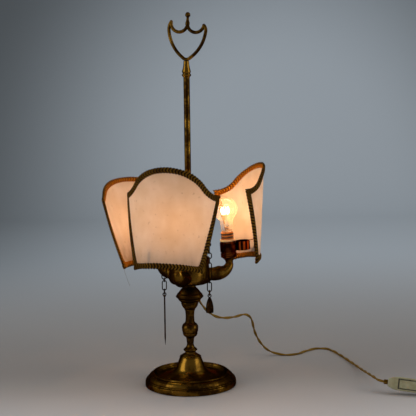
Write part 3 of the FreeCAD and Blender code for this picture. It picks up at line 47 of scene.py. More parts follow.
# Camera: at the photograph's angle, about two metres in front and a little above the reservoir.
cameraSetup = {"place": (0.0, -1.932, 0.557), "heading": 1.06, "down": 6.74, "roll": -0.70, "lens": 92.31}


def makeCamera(setup):
    heading, down, roll = (math.radians(setup[k]) for k in ("heading", "down", "roll"))
    ahead = Vector((math.sin(heading) * math.cos(down), math.cos(heading) * math.cos(down), -math.sin(down)))
    level = Vector((math.cos(heading), -math.sin(heading), 0))
    upright = level.cross(ahead)
    right = level * math.cos(roll) + upright * math.sin(roll)
    top = upright * math.cos(roll) - level * math.sin(roll)
    data = bpy.data.cameras.new("camera")
    data.lens = setup["lens"]
    data.sensor_width = 36
    data.sensor_fit = "HORIZONTAL"
    data.clip_end = 30
    camera = bpy.data.objects.new("camera", data)
    turned = Matrix((right, top, -ahead)).transposed().to_4x4()
    camera.matrix_world = Matrix.Translation(setup["place"]) @ turned
    bpy.context.scene.collection.objects.link(camera)
    bpy.context.scene.camera = camera


makeCamera(cameraSetup)
print("camera placed")


# Small tools for materials and meshes.

# sRGB hex to linear light: small values are divided by 12.92, the rest follow the 2.4 power curve
def hexColor(code):
    shares = [int(code[at:at + 2], 16) / 255 for at in (1, 3, 5)]
    return tuple(v / 12.92 if v <= 0.04045 else ((v + 0.055) / 1.055) ** 2.4 for v in shares) + (1.0,)


# adds one node with its settings, then sets or links its inputs; a node given as an input is linked from
# its first output
def addNode(tree, kind, inputs=None, **settings):
    node = tree.nodes.new("ShaderNode" + kind)
    for name, value in settings.items():
        setattr(node, name, value)
    for name, value in (inputs or {}).items():
        if isinstance(value, bpy.types.Node):
            value = value.outputs[0]
        if isinstance(value, bpy.types.NodeSocket):
            tree.links.new(value, node.inputs[name])
        else:
            node.inputs[name].default_value = value
    return node


# a material whose surface comes from a paint function, which gets the empty tree and whatever else is given
def makeMaterial(name, paint, *given):
    material = bpy.data.materials.new(name)
    material.use_nodes = True
    tree = material.node_tree
    tree.nodes.clear()
    addNode(tree, "OutputMaterial", {"Surface": paint(tree, *given)})
    return material


# texture scale for a feature of this many millimetres; a wave needs a twentieth of pi of it for each band
def perSize(millimetres):
    return 1000.0 / millimetres


def perBand(millimetres):
    return 0.3142 * perSize(millimetres)


# noise of one real size, stretched to 0..1 between two of its values
def patches(tree, place, millimetres, low=0.35, high=0.65, detail=3.0):
    noise = addNode(tree, "TexNoise", {"Vector": place, "Scale": perSize(millimetres), "Detail": detail})
    return addNode(tree, "MapRange", {"Value": noise.outputs["Fac"], "From Min": low, "From Max": high})


# colours laid over each other: each layer covers what is under it by its own share
def layColors(tree, ground, *layers):
    color = hexColor(ground)
    for share, over in layers:
        over = hexColor(over) if isinstance(over, str) else over
        color = addNode(tree, "Mix", {0: share, 6: color, 7: over}, data_type="RGBA").outputs[2]
    return color


# Object coordinates turned into the frame of one piece, given as a 4 x 4 array in millimetres
def inFrame(tree, pieceFrame):
    place = addNode(tree, "TexCoord").outputs["Object"]
    turned = Matrix(pieceFrame.tolist())
    return addNode(tree, "Mapping", {"Vector": place, "Location": turned.translation / 1000,
                                     "Rotation": turned.to_euler("XYZ")}, vector_type="TEXTURE")


# A tube round a path: at each path point a ring of points stands square to the path, turned to face a
# side direction
def tubeRings(path, sides, radius, facing):
    path = np.asarray(path, float)
    along = np.gradient(path, axis=0)
    along /= np.linalg.norm(along, axis=1, keepdims=True)
    facing = np.broadcast_to(np.asarray(facing, float), path.shape)
    out = facing - along * np.sum(facing * along, axis=1, keepdims=True)
    out /= np.linalg.norm(out, axis=1, keepdims=True)
    beside = np.cross(along, out)
    turn = np.linspace(0, 2 * np.pi, sides, endpoint=False)[None, :, None]
    reach = np.broadcast_to(np.asarray(radius, float), (len(path),))[:, None, None]
    return path[:, None] + reach * (out[:, None] * np.cos(turn) + beside[:, None] * np.sin(turn))


# A shape turned about a place's own Z: each (radius, height) of the profile becomes a ring
def turnedRings(profile, sides, place):
    profile = np.asarray(profile, float)
    turn = np.linspace(0, 2 * np.pi, sides, endpoint=False)
    rings = np.stack([profile[:, :1] * np.cos(turn), profile[:, :1] * np.sin(turn),
                      np.repeat(profile[:, 1:], sides, axis=1)], axis=-1)
    return moveAll(rings, place)


def moveAll(points, place):
    return points @ place[:3, :3].T + place[:3, 3]


# quads between neighbouring rings, with the ends either joined to each other or closed by a flat face
def ringFaces(rows, sides, joined=False):
    at = np.arange(rows * sides).reshape(rows, sides)
    quads = np.stack([at, np.roll(at, -1, 1), np.roll(np.roll(at, -1, 1), -1, 0), np.roll(at, -1, 0)], -1)
    if joined:
        return quads.reshape(-1, 4).tolist()
    return quads[:-1].reshape(-1, 4).tolist() + [at[0][::-1].tolist(), at[-1].tolist()]


# one object from several lots of (points in mm, faces, number of its material)
def buildPiece(name, lots, materials, body):
    points, faces, which = [], [], []
    start = 0
    for lotPoints, lotFaces, number in lots:
        flat = np.asarray(lotPoints).reshape(-1, 3) / 1000
        points.append(flat)
        faces += [[corner + start for corner in face] for face in lotFaces]
        which += [number] * len(lotFaces)
        start += len(flat)
    mesh = bpy.data.meshes.new(name)
    mesh.from_pydata(np.concatenate(points), [], faces)
    mesh.polygons.foreach_set("material_index", which)
    mesh.polygons.foreach_set("use_smooth", [True] * len(which))
    for material in materials:
        mesh.materials.append(material)
    mesh.update()
    piece = bpy.data.objects.new(name, mesh)
    bpy.context.scene.collection.objects.link(piece)
    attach(piece, body)
    return piece


# a UV map with one pair of numbers for each vertex
def addMap(piece, name, pairs):
    corners = np.zeros(len(piece.data.loops), int)
    piece.data.loops.foreach_get("vertex_index", corners)
    layer = piece.data.uv_layers.new(name=name)
    layer.data.foreach_set("uv", pairs[corners].astype(np.float32).ravel())


# an attribute with one number for each vertex: the piece's first points get theirs, the rest a plain value
def addNumbers(piece, name, first, rest):
    values = np.full(len(piece.data.vertices), rest, np.float32)
    values[:len(first)] = first
    piece.data.attributes.new(name, "FLOAT", "POINT").data.foreach_set("value", values)


# places as 4 x 4 arrays in millimetres
def moved(x, y, z):
    return np.array(Matrix.Translation((x, y, z)))


def turnedAbout(axis, degrees):
    return np.array(Matrix.Rotation(math.radians(degrees), 4, axis))


# The three lampholders, and how each shade is hung on its own.
holderSetup = {"azimuths": {1: 15.0, 2: -105.0, 3: 135.0}, "reach": 76.4, "base": 234.2, "lean": -4.0,
               "clipLevel": 27.4}
shadeSetup = {
    1: {"swivel": 3.7, "reach": 55.9, "slide": -6.5, "drop": 30.9, "lean": 9.5, "roll": -5.6},
    2: {"swivel": 4.0, "reach": 55.2, "slide": -10.5, "drop": 24.8, "lean": 5.7, "roll": -1.8},
    3: {"swivel": -17.2, "reach": 67.6, "slide": 14.5, "drop": 54.9, "lean": 28.7, "roll": -5.1},
}


def holderFrame(number):
    foot = moved(holderSetup["reach"], 0, holderSetup["base"])
    return turnedAbout("Z", holderSetup["azimuths"][number]) @ foot @ turnedAbout("Y", holderSetup["lean"])


def sheetFrame(number):
    hung = shadeSetup[number]
    place = holderFrame(number) @ turnedAbout("Z", hung["swivel"])
    place = place @ moved(hung["reach"], hung["slide"], holderSetup["clipLevel"])
    tilted = turnedAbout("Y", hung["lean"]) @ turnedAbout("X", hung["roll"])
    return place @ tilted @ moved(0, 0, -hung["drop"])


# Cord: twisted gold silk flex, limp, 4 mm thick over both cores. The stretch to the switch lies where the
# photograph shows it, and the rest is wound up beside the switch. All in millimetres.
cordSetup = {
    "toSwitch": [
        (16.15, 12.62, 157.33), (24.2, 18.9, 140.0), (49.5, 39, 115.2), (82, 68, 108.5), (108, 101, 109.5),
        (122, 131, 93), (128, 158, 60), (141, 181, 31), (160, 198, 8), (188, 190, 2), (216, 192, 2),
        (238, 220, 2), (260, 240, 2), (280, 240, 2), (293, 224, 2), (302, 193, 2), (315, 142, 2),
        (325.6, 69.5, 5.5), (328.5, 15.7, 12.5), (333.2, -47.7, 20.5), (337.51, -76.26, 21.22),
        (352.26, -80.89, 20.09),
    ],
    "bushMouth": (17.674, 13.808, 155.029),
    "glandExit": (432.2, -105.94, 13.94),
    "glandAim": (0.95168, -0.29824, -0.07324),
    "straightOut": 9.0,
    "leadSag": (0, -4.0, -1.5),
    "coil": {"centre": (494.2, -119.94), "turns": 7, "layers": 4, "middle": 22.0, "side": 4.6, "climb": 4.5,
             "floor": 2.2, "pointsPerTurn": 16},
    "leaveCoil": (13.0, 2.0, -0.8),
    "plugStart": (563.75, -171.93, 6.7),
    "plugAim": (0.8516, -0.5242, 0.0),
    "beforePlug": (40.0, 22.0),
    "plugSag": (0, 0, 2.5),
    "smoothness": {"toSwitch": 20, "tail": 5},
    "twist": {"length": 64.0, "start": 0.4, "offset": 1.12, "core": 1.48, "sides": 10, "closing": (8, 24),
              "closed": 0.7},
}


# The coil steps in from its widest turn and out again, one layer up at each reversal.
# Its control points stand a fiftieth wide of the tube, because the curve cuts inside them.
def coilPoints(setup):
    layers = setup["layers"]
    span = 2 * np.pi * setup["turns"] / layers
    turned = np.linspace(0, 2 * np.pi * setup["turns"], setup["turns"] * setup["pointsPerTurn"] + 1)
    rate = setup["side"] / (2 * np.pi)
    widest = setup["middle"] + rate * span / 2
    nearest = np.clip(np.round(turned / span), 1, layers - 1)
    offset = turned - nearest * span
    layer = np.minimum((turned / span).astype(int), layers - 1)
    within = turned - layer * span
    inwards = np.where(layer % 2 == 0, within, span - within)
    soft = offset * offset / np.pi + np.pi / 4
    turning = np.abs(offset) < np.pi / 2
    inwards = np.where(turning, np.where(nearest % 2 == 1, span - soft, soft), inwards)
    level = np.where(turning, nearest - 1 + (1 + np.sin(offset)) / 2, layer)
    radius = (widest - rate * inwards) / 0.98
    angle = turned - np.pi / 2
    return np.stack([setup["centre"][0] + radius * np.cos(angle), setup["centre"][1] + radius * np.sin(angle),
                     setup["floor"] + setup["climb"] * level], -1)


# The whole stored length: out of the gland, round the coil and straight into the plug
def tailPoints(setup):
    start, aim = np.array(setup["glandExit"]), np.array(setup["glandAim"])
    plug, plugAim = np.array(setup["plugStart"]), np.array(setup["plugAim"])
    turns = coilPoints(setup["coil"])
    near = start + aim * setup["straightOut"]
    middle = (near + turns[0]) / 2 + np.array(setup["leadSag"])
    leave = turns[-1] + np.array(setup["leaveCoil"])
    far, close = setup["beforePlug"]
    return [start, near, middle, *turns, leave, plug - plugAim * far + np.array(setup["plugSag"]),
            plug - plugAim * close, plug]


# The cord's own line: an open NURBS spline with the route's points as its control points, read back
def routeLine(route, resolution):
    data = bpy.data.curves.new("route", "CURVE")
    data.dimensions = "3D"
    data.resolution_u = resolution
    spline = data.splines.new("NURBS")
    spline.points.add(len(route) - 1)
    controls = np.column_stack([np.array(route) / 1000, np.ones(len(route))])
    spline.points.foreach_set("co", controls.ravel())
    spline.order_u = 3
    spline.use_endpoint_u = True
    bare = bpy.data.objects.new("route", data)
    mesh = bpy.data.meshes.new_from_object(bare)
    line = np.zeros(len(mesh.vertices) * 3)
    mesh.vertices.foreach_get("co", line)
    bpy.data.meshes.remove(mesh)
    bpy.data.curves.remove(data)
    return line.reshape(-1, 3) * 1000


# Two silk-covered cores twisted round each other: each core's middle circles the route at its offset, half a
# turn from the other, once every twist length, and a ring of points stands round it. The twist closes up at
# both ends, and nothing sinks below the table.
def twistCord(name, line, setup, material):
    along = np.gradient(line, axis=0)
    along /= np.linalg.norm(along, axis=1, keepdims=True)
    travelled = np.concatenate([[0], np.cumsum(np.linalg.norm(np.diff(line, axis=0), axis=1))])
    upwards = np.array([0, 0, 1.0]) - along * along[:, 2:]
    upwards /= np.linalg.norm(upwards, axis=1, keepdims=True)
    beside = np.cross(along, upwards)
    toEnd = np.minimum(travelled, travelled[-1] - travelled)
    offset = setup["offset"] * np.interp(toEnd, setup["closing"], [setup["closed"], 1.0])[:, None]
    ring = np.linspace(0, 2 * np.pi, setup["sides"], endpoint=False)
    across, high = np.sin(ring)[None, :, None], np.cos(ring)[None, :, None]
    lots = []
    for phase in (0, np.pi):
        turn = 2 * np.pi * travelled / setup["length"] + phase + setup["start"]
        middle = line + (upwards * np.cos(turn)[:, None] + beside * np.sin(turn)[:, None]) * offset
        rings = middle[:, None] + setup["core"] * (upwards[:, None] * high + beside[:, None] * across)
        rings[..., 2] = np.maximum(rings[..., 2], 0)
        lots.append((rings, ringFaces(len(line), setup["sides"]), 0))
    piece = buildPiece(name, lots, [material], "lamp")
    cover = np.stack([np.repeat(travelled, setup["sides"]), np.tile(ring * setup["core"], len(line))], -1)
    addMap(piece, "cover", np.concatenate([cover, cover]))
    return piece


# Silk-covered flex: a fine diagonal plait with a soft shine, gold where it is clean, brown in the gaps. Its
# map is in mm, and the plait is drawn every 1.6 mm, about twice as coarse as the real one, so that it shows.
flexSetup = {"clean": "#B48E26", "worn": "#8C6C16", "gap": "#66480C", "patch": 30, "plait": 0.28,
             "rough": 0.55}


def goldFlex(tree, setup):
    place = addNode(tree, "TexCoord").outputs["Object"]
    cover = addNode(tree, "UVMap", uv_map="cover").outputs["UV"]
    turned = addNode(tree, "Mapping", {"Vector": cover, "Rotation": (0, 0, 1.57)})
    ways = [addNode(tree, "TexWave", {"Vector": way, "Scale": setup["plait"]},
                    bands_direction="DIAGONAL").outputs["Fac"] for way in (cover, turned)]
    plait = addNode(tree, "Math", {0: ways[0], 1: ways[1]}, operation="MULTIPLY")
    silk = layColors(tree, setup["clean"], (patches(tree, place, setup["patch"]), setup["worn"]))
    color = layColors(tree, setup["gap"], (plait, silk))
    bump = addNode(tree, "Bump", {"Height": plait, "Strength": 0.5, "Distance": 0.0003})
    return addNode(tree, "BsdfPrincipled", {
        "Base Color": color, "Roughness": setup["rough"], "Specular IOR Level": 0.2, "Normal": bump})


flexMaterial = makeMaterial("goldSilkFlex", goldFlex, flexSetup)
runLine = routeLine(cordSetup["toSwitch"], cordSetup["smoothness"]["toSwitch"])
cordRun = twistCord("cordRun", runLine, cordSetup["twist"], flexMaterial)
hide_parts("cord_run")
tailLine = routeLine(tailPoints(cordSetup), cordSetup["smoothness"]["tail"])
cordTail = twistCord("cordTail", tailLine, cordSetup["twist"], flexMaterial)
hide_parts("cord_coil")
print("cords laid")


# Metals. Each is one shader whose colour and roughness wander between a rubbed and a tarnished state.
# The edge colour keeps the tone of the lacquer or patina where the surface is seen at a glance.
metalSetup = {
    # old lacquered brass, spun and turned: brown-gold, nearly black where tarnished, rubbed bright on ridges
    "agedBrass": {"rubbed": "#7C5A1E", "tarnish": "#321F07", "edge": "#A07A34", "patch": 34.0, "fine": 5.0,
                  "rough": (0.22, 0.42), "lines": 0.9, "bump": 0.00010},
    # browned brass sheet of the lampholders: dark red-brown with a dull shine
    "brownedBrass": {"rubbed": "#7A3F16", "tarnish": "#250E05", "edge": "#C0763A", "patch": 16.0, "fine": 3.0,
                     "rough": (0.16, 0.32), "lines": 0.7, "bump": 0.00006},
    # cast and drawn bronze of chains and tools: almost black, brown where fingers have been
    "blackBronze": {"rubbed": "#3E2610", "tarnish": "#160C06", "edge": "#6A5030", "patch": 9.0, "fine": 2.0,
                    "rough": (0.30, 0.50), "lines": 0.0, "bump": 0.00008},
    # machined mild steel of the tube and nut: plain grey with fine tool marks
    "machinedSteel": {"rubbed": "#A9A8A2", "tarnish": "#7C7A74", "edge": "#FFFFFF", "patch": 14.0,
                      "fine": 2.0, "rough": (0.30, 0.42), "lines": 0.5, "bump": 0.00005},
    # nickel-plated caps and pins: warm pale metal, slightly dulled
    "dulledNickel": {"rubbed": "#C6C0B2", "tarnish": "#9A9284", "edge": "#FFFFFF", "patch": 8.0, "fine": 1.5,
                     "rough": (0.20, 0.34), "lines": 0.0, "bump": 0.00003},
    # turned brass glands of the switch: the aged brass of the lamp, handled bright
    "handledBrass": {"rubbed": "#94702A", "tarnish": "#4A3210", "edge": "#B08A44", "patch": 9.0, "fine": 2.0,
                     "rough": (0.26, 0.40), "lines": 0.4, "bump": 0.00005},
}


def metal(tree, finish):
    place = addNode(tree, "TexCoord").outputs["Object"]
    wide = patches(tree, place, finish["patch"], 0.38, 0.62)
    fine = patches(tree, place, finish["fine"], 0.40, 0.66, 4.0)
    both = addNode(tree, "Math", {0: wide, 1: fine}, operation="MULTIPLY")
    share = addNode(tree, "Math", {0: wide, 1: both}, operation="ADD", use_clamp=True)
    color = layColors(tree, finish["rubbed"], (share, finish["tarnish"]))
    smooth, dull = finish["rough"]
    roughness = addNode(tree, "MapRange", {"Value": share, "To Min": smooth, "To Max": dull})
    # turning marks run round the upright axis, so the noise, about 1.6 mm high, is drawn out sideways
    marks = addNode(tree, "Mapping", {"Vector": place, "Scale": (0.12, 0.12, 1.0)})
    lines = addNode(tree, "TexNoise", {"Vector": marks, "Scale": perSize(1.6), "Detail": 2.0}).outputs["Fac"]
    pits = addNode(tree, "Math", {0: lines, 1: finish["lines"]}, operation="MULTIPLY")
    height = addNode(tree, "Math", {0: pits, 1: fine}, operation="ADD")
    bump = addNode(tree, "Bump", {"Height": height, "Strength": 0.45, "Distance": finish["bump"]})
    return addNode(tree, "BsdfPrincipled", {
        "Base Color": color, "Metallic": 1.0, "Roughness": roughness,
        "Specular Tint": hexColor(finish["edge"]), "Normal": bump})


metals = {name: makeMaterial(name, metal, finish) for name, finish in metalSetup.items()}


# Grey cast iron of the foot's weight: rough sand-cast skin, dull and dark.
def castIron(tree):
    place = addNode(tree, "TexCoord").outputs["Object"]
    grain = patches(tree, place, 1.8, 0.3, 0.7, 5.0)
    color = layColors(tree, "#4A4642", (grain, "#2F2C2A"))
    bump = addNode(tree, "Bump", {"Height": grain, "Strength": 0.8, "Distance": 0.0004})
    return addNode(tree, "BsdfPrincipled", {
        "Base Color": color, "Metallic": 0.7, "Roughness": 0.72, "Normal": bump})


# Pressed wool felt under the foot: matt dark green with short random fibres.
def woolFelt(tree):
    place = addNode(tree, "TexCoord").outputs["Object"]
    fibres = addNode(tree, "Mapping", {"Vector": place, "Rotation": (0, 0, 0.6), "Scale": (1.0, 0.25, 1.0)})
    grain = patches(tree, fibres, 1.2, 0.3, 0.7, 6.0)
    color = layColors(tree, "#33402F", (grain, "#22291F"))
    bump = addNode(tree, "Bump", {"Height": grain, "Strength": 0.7, "Distance": 0.0003})
    return addNode(tree, "BsdfPrincipled", {
        "Base Color": color, "Roughness": 0.95, "Sheen Weight": 0.4, "Sheen Roughness": 0.5,
        "Normal": bump})


# Moulded plastics: an even colour with faint clouding, a satin skin and slight orange-peel.
plasticSetup = {
    # urea moulding of the lampholder rings, yellowed by heat
    "yellowedUrea": {"color": "#D8C8A0", "cloud": "#BFA878", "rough": 0.34, "through": 0.25},
    # thermoplastic of the switch and plug: ivory, satin, handled for years
    "satinIvory": {"color": "#AFAB88", "cloud": "#958E6A", "rough": 0.38, "through": 0.12},
    # fibre sleeve of the inner wires: brown, dull
    "wireSleeving": {"color": "#6B4A2A", "cloud": "#4A3018", "rough": 0.60, "through": 0.0},
}
plasticShared = {"cloudSize": 12, "skin": {"IOR": 1.53, "Subsurface Scale": 0.002}}


def plastic(tree, finish):
    place = addNode(tree, "TexCoord").outputs["Object"]
    cloud = patches(tree, place, plasticShared["cloudSize"], 0.3, 0.7)
    color = layColors(tree, finish["color"], (cloud, finish["cloud"]))
    peel = addNode(tree, "TexNoise", {"Vector": place, "Scale": perSize(1.5), "Detail": 1.0}).outputs["Fac"]
    bump = addNode(tree, "Bump", {"Height": peel, "Strength": 0.2, "Distance": 0.00006})
    return addNode(tree, "BsdfPrincipled", {
        "Base Color": color, "Roughness": finish["rough"], "Subsurface Weight": finish["through"],
        "Normal": bump, **plasticShared["skin"]})


plastics = {name: makeMaterial(name, plastic, finish) for name, finish in plasticSetup.items()}


# Ivory thermoplastic of the switch's cover and rocker: satin and yellowed, with painted shade in the gap
# between them. The line of painted shade is drawn 1.4 mm wide, twice the real gap, so that it shows.
rockerSetup = {"nose": (345.6, -78.8, 20.6), "heading": -17.4, "pitch": 4.2, "roll": 75.5, "middle": 44.0,
               "half": {"X": 17.4, "Y": 8.2}, "line": 1.4, "gapShade": "#140F08", "color": "#B2AE8C",
               "cloud": "#958E6A", "rough": 0.38, "through": 0.12}


def rockerSurround(tree, setup):
    place = addNode(tree, "TexCoord").outputs["Object"]
    nose = moved(*setup["nose"]) @ turnedAbout("Z", setup["heading"]) @ turnedAbout("Y", setup["pitch"])
    middle = nose @ turnedAbout("X", setup["roll"]) @ moved(setup["middle"], 0, 0)
    parts = addNode(tree, "SeparateXYZ", {0: inFrame(tree, middle)})
    beyond = []
    for axis, half in setup["half"].items():
        out = addNode(tree, "Math", {0: parts.outputs[axis]}, operation="ABSOLUTE")
        beyond.append(addNode(tree, "Math", {0: out, 1: half / 1000}, operation="SUBTRACT"))
    outside = addNode(tree, "Math", {0: beyond[0], 1: beyond[1]}, operation="MAXIMUM")
    away = addNode(tree, "Math", {0: outside}, operation="ABSOLUTE")
    # painted shade: a dark line along the gap round the rocker
    gapShadeMask = addNode(tree, "MapRange", {"Value": away, "From Min": setup["line"] / 1000,
                                       "From Max": setup["line"] / 4000})
    cloud = patches(tree, place, plasticShared["cloudSize"], 0.3, 0.7)
    color = layColors(tree, setup["color"], (cloud, setup["cloud"]), (gapShadeMask, setup["gapShade"]))
    return addNode(tree, "BsdfPrincipled", {
        "Base Color": color, "Roughness": setup["rough"], "Subsurface Weight": setup["through"],
        **plasticShared["skin"]})


# Amber phenolic thread of a lampholder: glossy, with the lamp's light painted on the crests in gold and
# painted shade in the grooves in near black. The grooves are drawn every 5.6 mm, two turns of the real
# thread, so that they show.
coreSetup = {"paintedLitCrest": "#B8741E", "grooveShade": "#2A1204", "clouded": "#8A4E14", "pitch": 5.6, "rough": 0.22}


def threadedPhenolic(tree, number, setup):
    local = inFrame(tree, holderFrame(number))
    wave = addNode(tree, "TexWave", {"Vector": local, "Scale": perBand(setup["pitch"]), "Distortion": 0.6,
                                     "Detail": 1.0, "Phase Offset": 1.2}, bands_direction="Z").outputs["Fac"]
    # painted light on the thread crests, painted shade in the grooves
    paintedLitCrest = addNode(tree, "MapRange", {"Value": wave, "From Min": 0.2, "From Max": 0.65})
    amber = layColors(tree, setup["paintedLitCrest"], (patches(tree, local, 9.0), setup["clouded"]))
    color = layColors(tree, setup["grooveShade"], (paintedLitCrest, amber))
    bump = addNode(tree, "Bump", {"Height": wave, "Strength": 0.6, "Distance": 0.0006})
    return addNode(tree, "BsdfPrincipled", {
        "Base Color": color, "Roughness": setup["rough"], "IOR": 1.6, "Normal": bump})


# Browned spring brass of a shade clip: bright, almost black, and on its loop rolled with shallow flutes that
# run along the holder, one every 8 mm, with painted orange-brown highlights on their crests and painted shade
# between them.
clipSetup = {"paintedLitCrest": "#B4581C", "between": "#1C0A04", "band": "#5A2A10", "edge": "#C0763A", "flute": 8.0,
             "loopFrom": 15.5, "rough": 0.22}


def flutedBrass(tree, number, setup):
    local = inFrame(tree, holderFrame(number))
    wave = addNode(tree, "TexWave", {"Vector": local, "Scale": perBand(setup["flute"]), "Distortion": 0.8,
                                     "Detail": 1.0, "Phase Offset": 0.4}, bands_direction="X").outputs["Fac"]
    paintedLitCrest = addNode(tree, "MapRange", {"Value": wave, "From Min": 0.35, "From Max": 0.85})
    out = addNode(tree, "SeparateXYZ", {0: local}).outputs["X"]
    onLoop = addNode(tree, "Math", {0: out, 1: setup["loopFrom"] / 1000}, operation="GREATER_THAN")
    # painted highlight on the flute crests and painted shade between them; the band keeps its own colour with
    # random tarnish
    flutes = layColors(tree, setup["between"], (paintedLitCrest, setup["paintedLitCrest"]))
    worn = patches(tree, local, 12.0, 0.4, 0.6)
    color = layColors(tree, setup["band"], (worn, setup["between"]), (onLoop, flutes))
    raised = addNode(tree, "Math", {0: wave, 1: onLoop}, operation="MULTIPLY")
    bump = addNode(tree, "Bump", {"Height": raised, "Strength": 0.5, "Distance": 0.0005})
    return addNode(tree, "BsdfPrincipled", {
        "Base Color": color, "Metallic": 1.0, "Roughness": setup["rough"],
        "Specular Tint": hexColor(setup["edge"]), "Normal": bump})


# Scraped sheepskin parchment: creamy, cloudy, matt, with skin mottling and old smudges, and more than a
# quarter of the light goes through. A ray inside the sheet passes its far face, so the wall counts once.
parchmentSetup = {"skin": "#E2CCB6", "cloud": "#D4B898", "darkTone": "#84603C", "mottle": 11.0,
                  "cloudSize": 45.0, "fleck": 7.0, "streak": 14.0, "grain": 2.2, "through": 0.27,
                  "darkerBelow": (0.282, 0.216)}


def parchment(tree, setup):
    place = addNode(tree, "TexCoord").outputs["Object"]
    cloud = patches(tree, place, setup["cloudSize"], 0.35, 0.7)
    mottle = patches(tree, place, setup["mottle"], 0.45, 0.75, 5.0)
    fleck = patches(tree, place, setup["fleck"], 0.67, 0.76, 2.0)
    faint = addNode(tree, "Math", {0: mottle, 1: 0.35}, operation="MULTIPLY")
    spots = addNode(tree, "Math", {0: fleck, 1: 0.35}, operation="MULTIPLY")
    # darker towards the lower edge, in uneven streaks
    upright = addNode(tree, "SeparateXYZ", {0: place}).outputs["Z"]
    darkTop, darkFull = setup["darkerBelow"]
    low = addNode(tree, "MapRange", {"Value": upright, "From Min": darkTop, "From Max": darkFull},
                  interpolation_type="SMOOTHSTEP")
    streak = addNode(tree, "Mapping", {"Vector": place, "Scale": (1, 1, 0.4)})
    uneven = patches(tree, streak, setup["streak"], 0.3, 0.7, 5.0)
    thick = addNode(tree, "MapRange", {"Value": uneven, "To Min": 0.30, "To Max": 0.90})
    lowDarkening = addNode(tree, "Math", {0: low, 1: thick}, operation="MULTIPLY")
    color = layColors(tree, setup["skin"], (cloud, setup["cloud"]), (faint, setup["cloud"]),
                      (spots, setup["darkTone"]), (lowDarkening, setup["darkTone"]))
    grain = addNode(tree, "TexNoise", {"Vector": place, "Scale": perSize(setup["grain"]), "Detail": 4.0})
    bump = addNode(tree, "Bump", {"Height": grain.outputs["Fac"], "Strength": 0.35, "Distance": 0.0002})
    skin = addNode(tree, "BsdfPrincipled", {"Base Color": color, "Roughness": 0.58, "Normal": bump})
    glow = addNode(tree, "BsdfTranslucent", {"Color": color, "Normal": bump})
    sheet = addNode(tree, "MixShader", {0: setup["through"], 1: skin, 2: glow})
    inside = addNode(tree, "NewGeometry").outputs["Backfacing"]
    clear = addNode(tree, "BsdfTransparent")
    return addNode(tree, "MixShader", {0: inside, 1: sheet, 2: clear})


# Blown soda glass of the bulbs: clear and thin, with a breath of haze that the filament lights up.
# Shadows pass through, as they nearly do through so thin a wall.
bulbSetup = {"haze": 0.034, "bloom": "#FFE5BC"}


def bulbGlass(tree, setup):
    glass = addNode(tree, "BsdfPrincipled", {
        "Base Color": hexColor("#FFFFFF"), "Roughness": 0.0, "IOR": 1.5, "Transmission Weight": 1.0})
    bloom = addNode(tree, "BsdfTranslucent", {"Color": hexColor(setup["bloom"])})
    hazed = addNode(tree, "MixShader", {0: setup["haze"], 1: glass, 2: bloom})
    clear = addNode(tree, "BsdfTransparent")
    shadow = addNode(tree, "LightPath").outputs["Is Shadow Ray"]
    return addNode(tree, "MixShader", {0: shadow, 1: hazed, 2: clear})


# The sheet's flat outline, anticlockwise: each run is a line or an arc, in mm across and up.
sheetSetup = {
    "curve": 85.3,
    "runs": [
        {"from": (-64.3, -8.4), "to": (64.3, -8.4), "centre": (0, -250.3), "clockwise": True},
        {"from": (64.3, -8.4), "to": (106, 118)},
        {"from": (106, 118), "to": (68, 138.69), "centre": (111.3, 172.9), "clockwise": True},
        {"from": (68, 138.69), "to": (-68, 138.69), "centre": (0, 84.9), "clockwise": False},
        {"from": (-68, 138.69), "to": (-106, 118), "centre": (-111.3, 172.9), "clockwise": True},
        {"from": (-106, 118), "to": (-64.3, -8.4)},
    ],
    "leastCorner": 0.15,
    "mitreReach": 30.0,
}


# points and directions along one run: an arc turns evenly about its centre, a line goes straight
def runPoints(run, step):
    start, end = np.array(run["from"], float), np.array(run["to"], float)
    if "centre" not in run:
        length = np.linalg.norm(end - start)
        share = np.arange(0, 1, 1 / max(2, round(length / step)))[:, None]
        aim = (end - start) / length
        return start + (end - start) * share, np.repeat(aim[None], len(share), 0), length
    centre = np.array(run["centre"], float)
    first, last = (math.atan2(*(p - centre)[::-1]) for p in (start, end))
    if run["clockwise"] and last > first:
        last -= 2 * math.pi
    if not run["clockwise"] and last < first:
        last += 2 * math.pi
    radius = np.linalg.norm(start - centre)
    length = radius * abs(last - first)
    angle = first + (last - first) * np.arange(0, 1, 1 / max(2, round(length / step)))
    side = 1 if last > first else -1
    out = np.stack([np.cos(angle), np.sin(angle)], -1)
    return centre + out * radius, np.stack([-out[:, 1], out[:, 0]], -1) * side, length


# the tangent of half the turn between two directions, or nothing where they nearly agree
def halfTurn(first, second):
    turn = math.atan2(first[0] * second[1] - first[1] * second[0], float(first @ second))
    return math.tan(turn / 2) if abs(turn) > sheetSetup["leastCorner"] else 0.0


# The whole outline: points, directions, how far along, and how much an inward offset slides along the
# edge so that both sides of a corner meet on its mitre.
def outline(step):
    runs = [runPoints(run, step) for run in sheetSetup["runs"]]
    points, aims, slides, travelled = [], [], [], []
    base = 0.0
    for number, (place, aim, length) in enumerate(runs):
        before, after = runs[number - 1][1], runs[(number + 1) % len(runs)][1]
        share = np.linspace(0, 1, len(place), endpoint=False)
        reach = min(length * 0.5, sheetSetup["mitreReach"])
        near = np.clip(1 - share * length / reach, 0, 1)
        far = np.clip(1 - (1 - share) * length / reach, 0, 1)
        atStart = halfTurn(2 * before[-1] - before[-2], aim[0])
        atEnd = halfTurn(2 * aim[-1] - aim[-2], after[0])
        slides.append(near * atStart - far * atEnd)
        points.append(place)
        aims.append(aim)
        travelled.append(base + share * length)
        base += length
    return *(np.concatenate(each) for each in (points, aims, slides, travelled)), base


# bends flat points (across, up) with a height off the sheet round the sheet's own curve, then hangs them
def onSheet(number, across, up, off):
    turn = across / sheetSetup["curve"]
    radius = sheetSetup["curve"] + off
    bent = np.stack([radius * np.cos(turn) - sheetSetup["curve"], radius * np.sin(turn), up], -1)
    return moveAll(bent, sheetFrame(number))
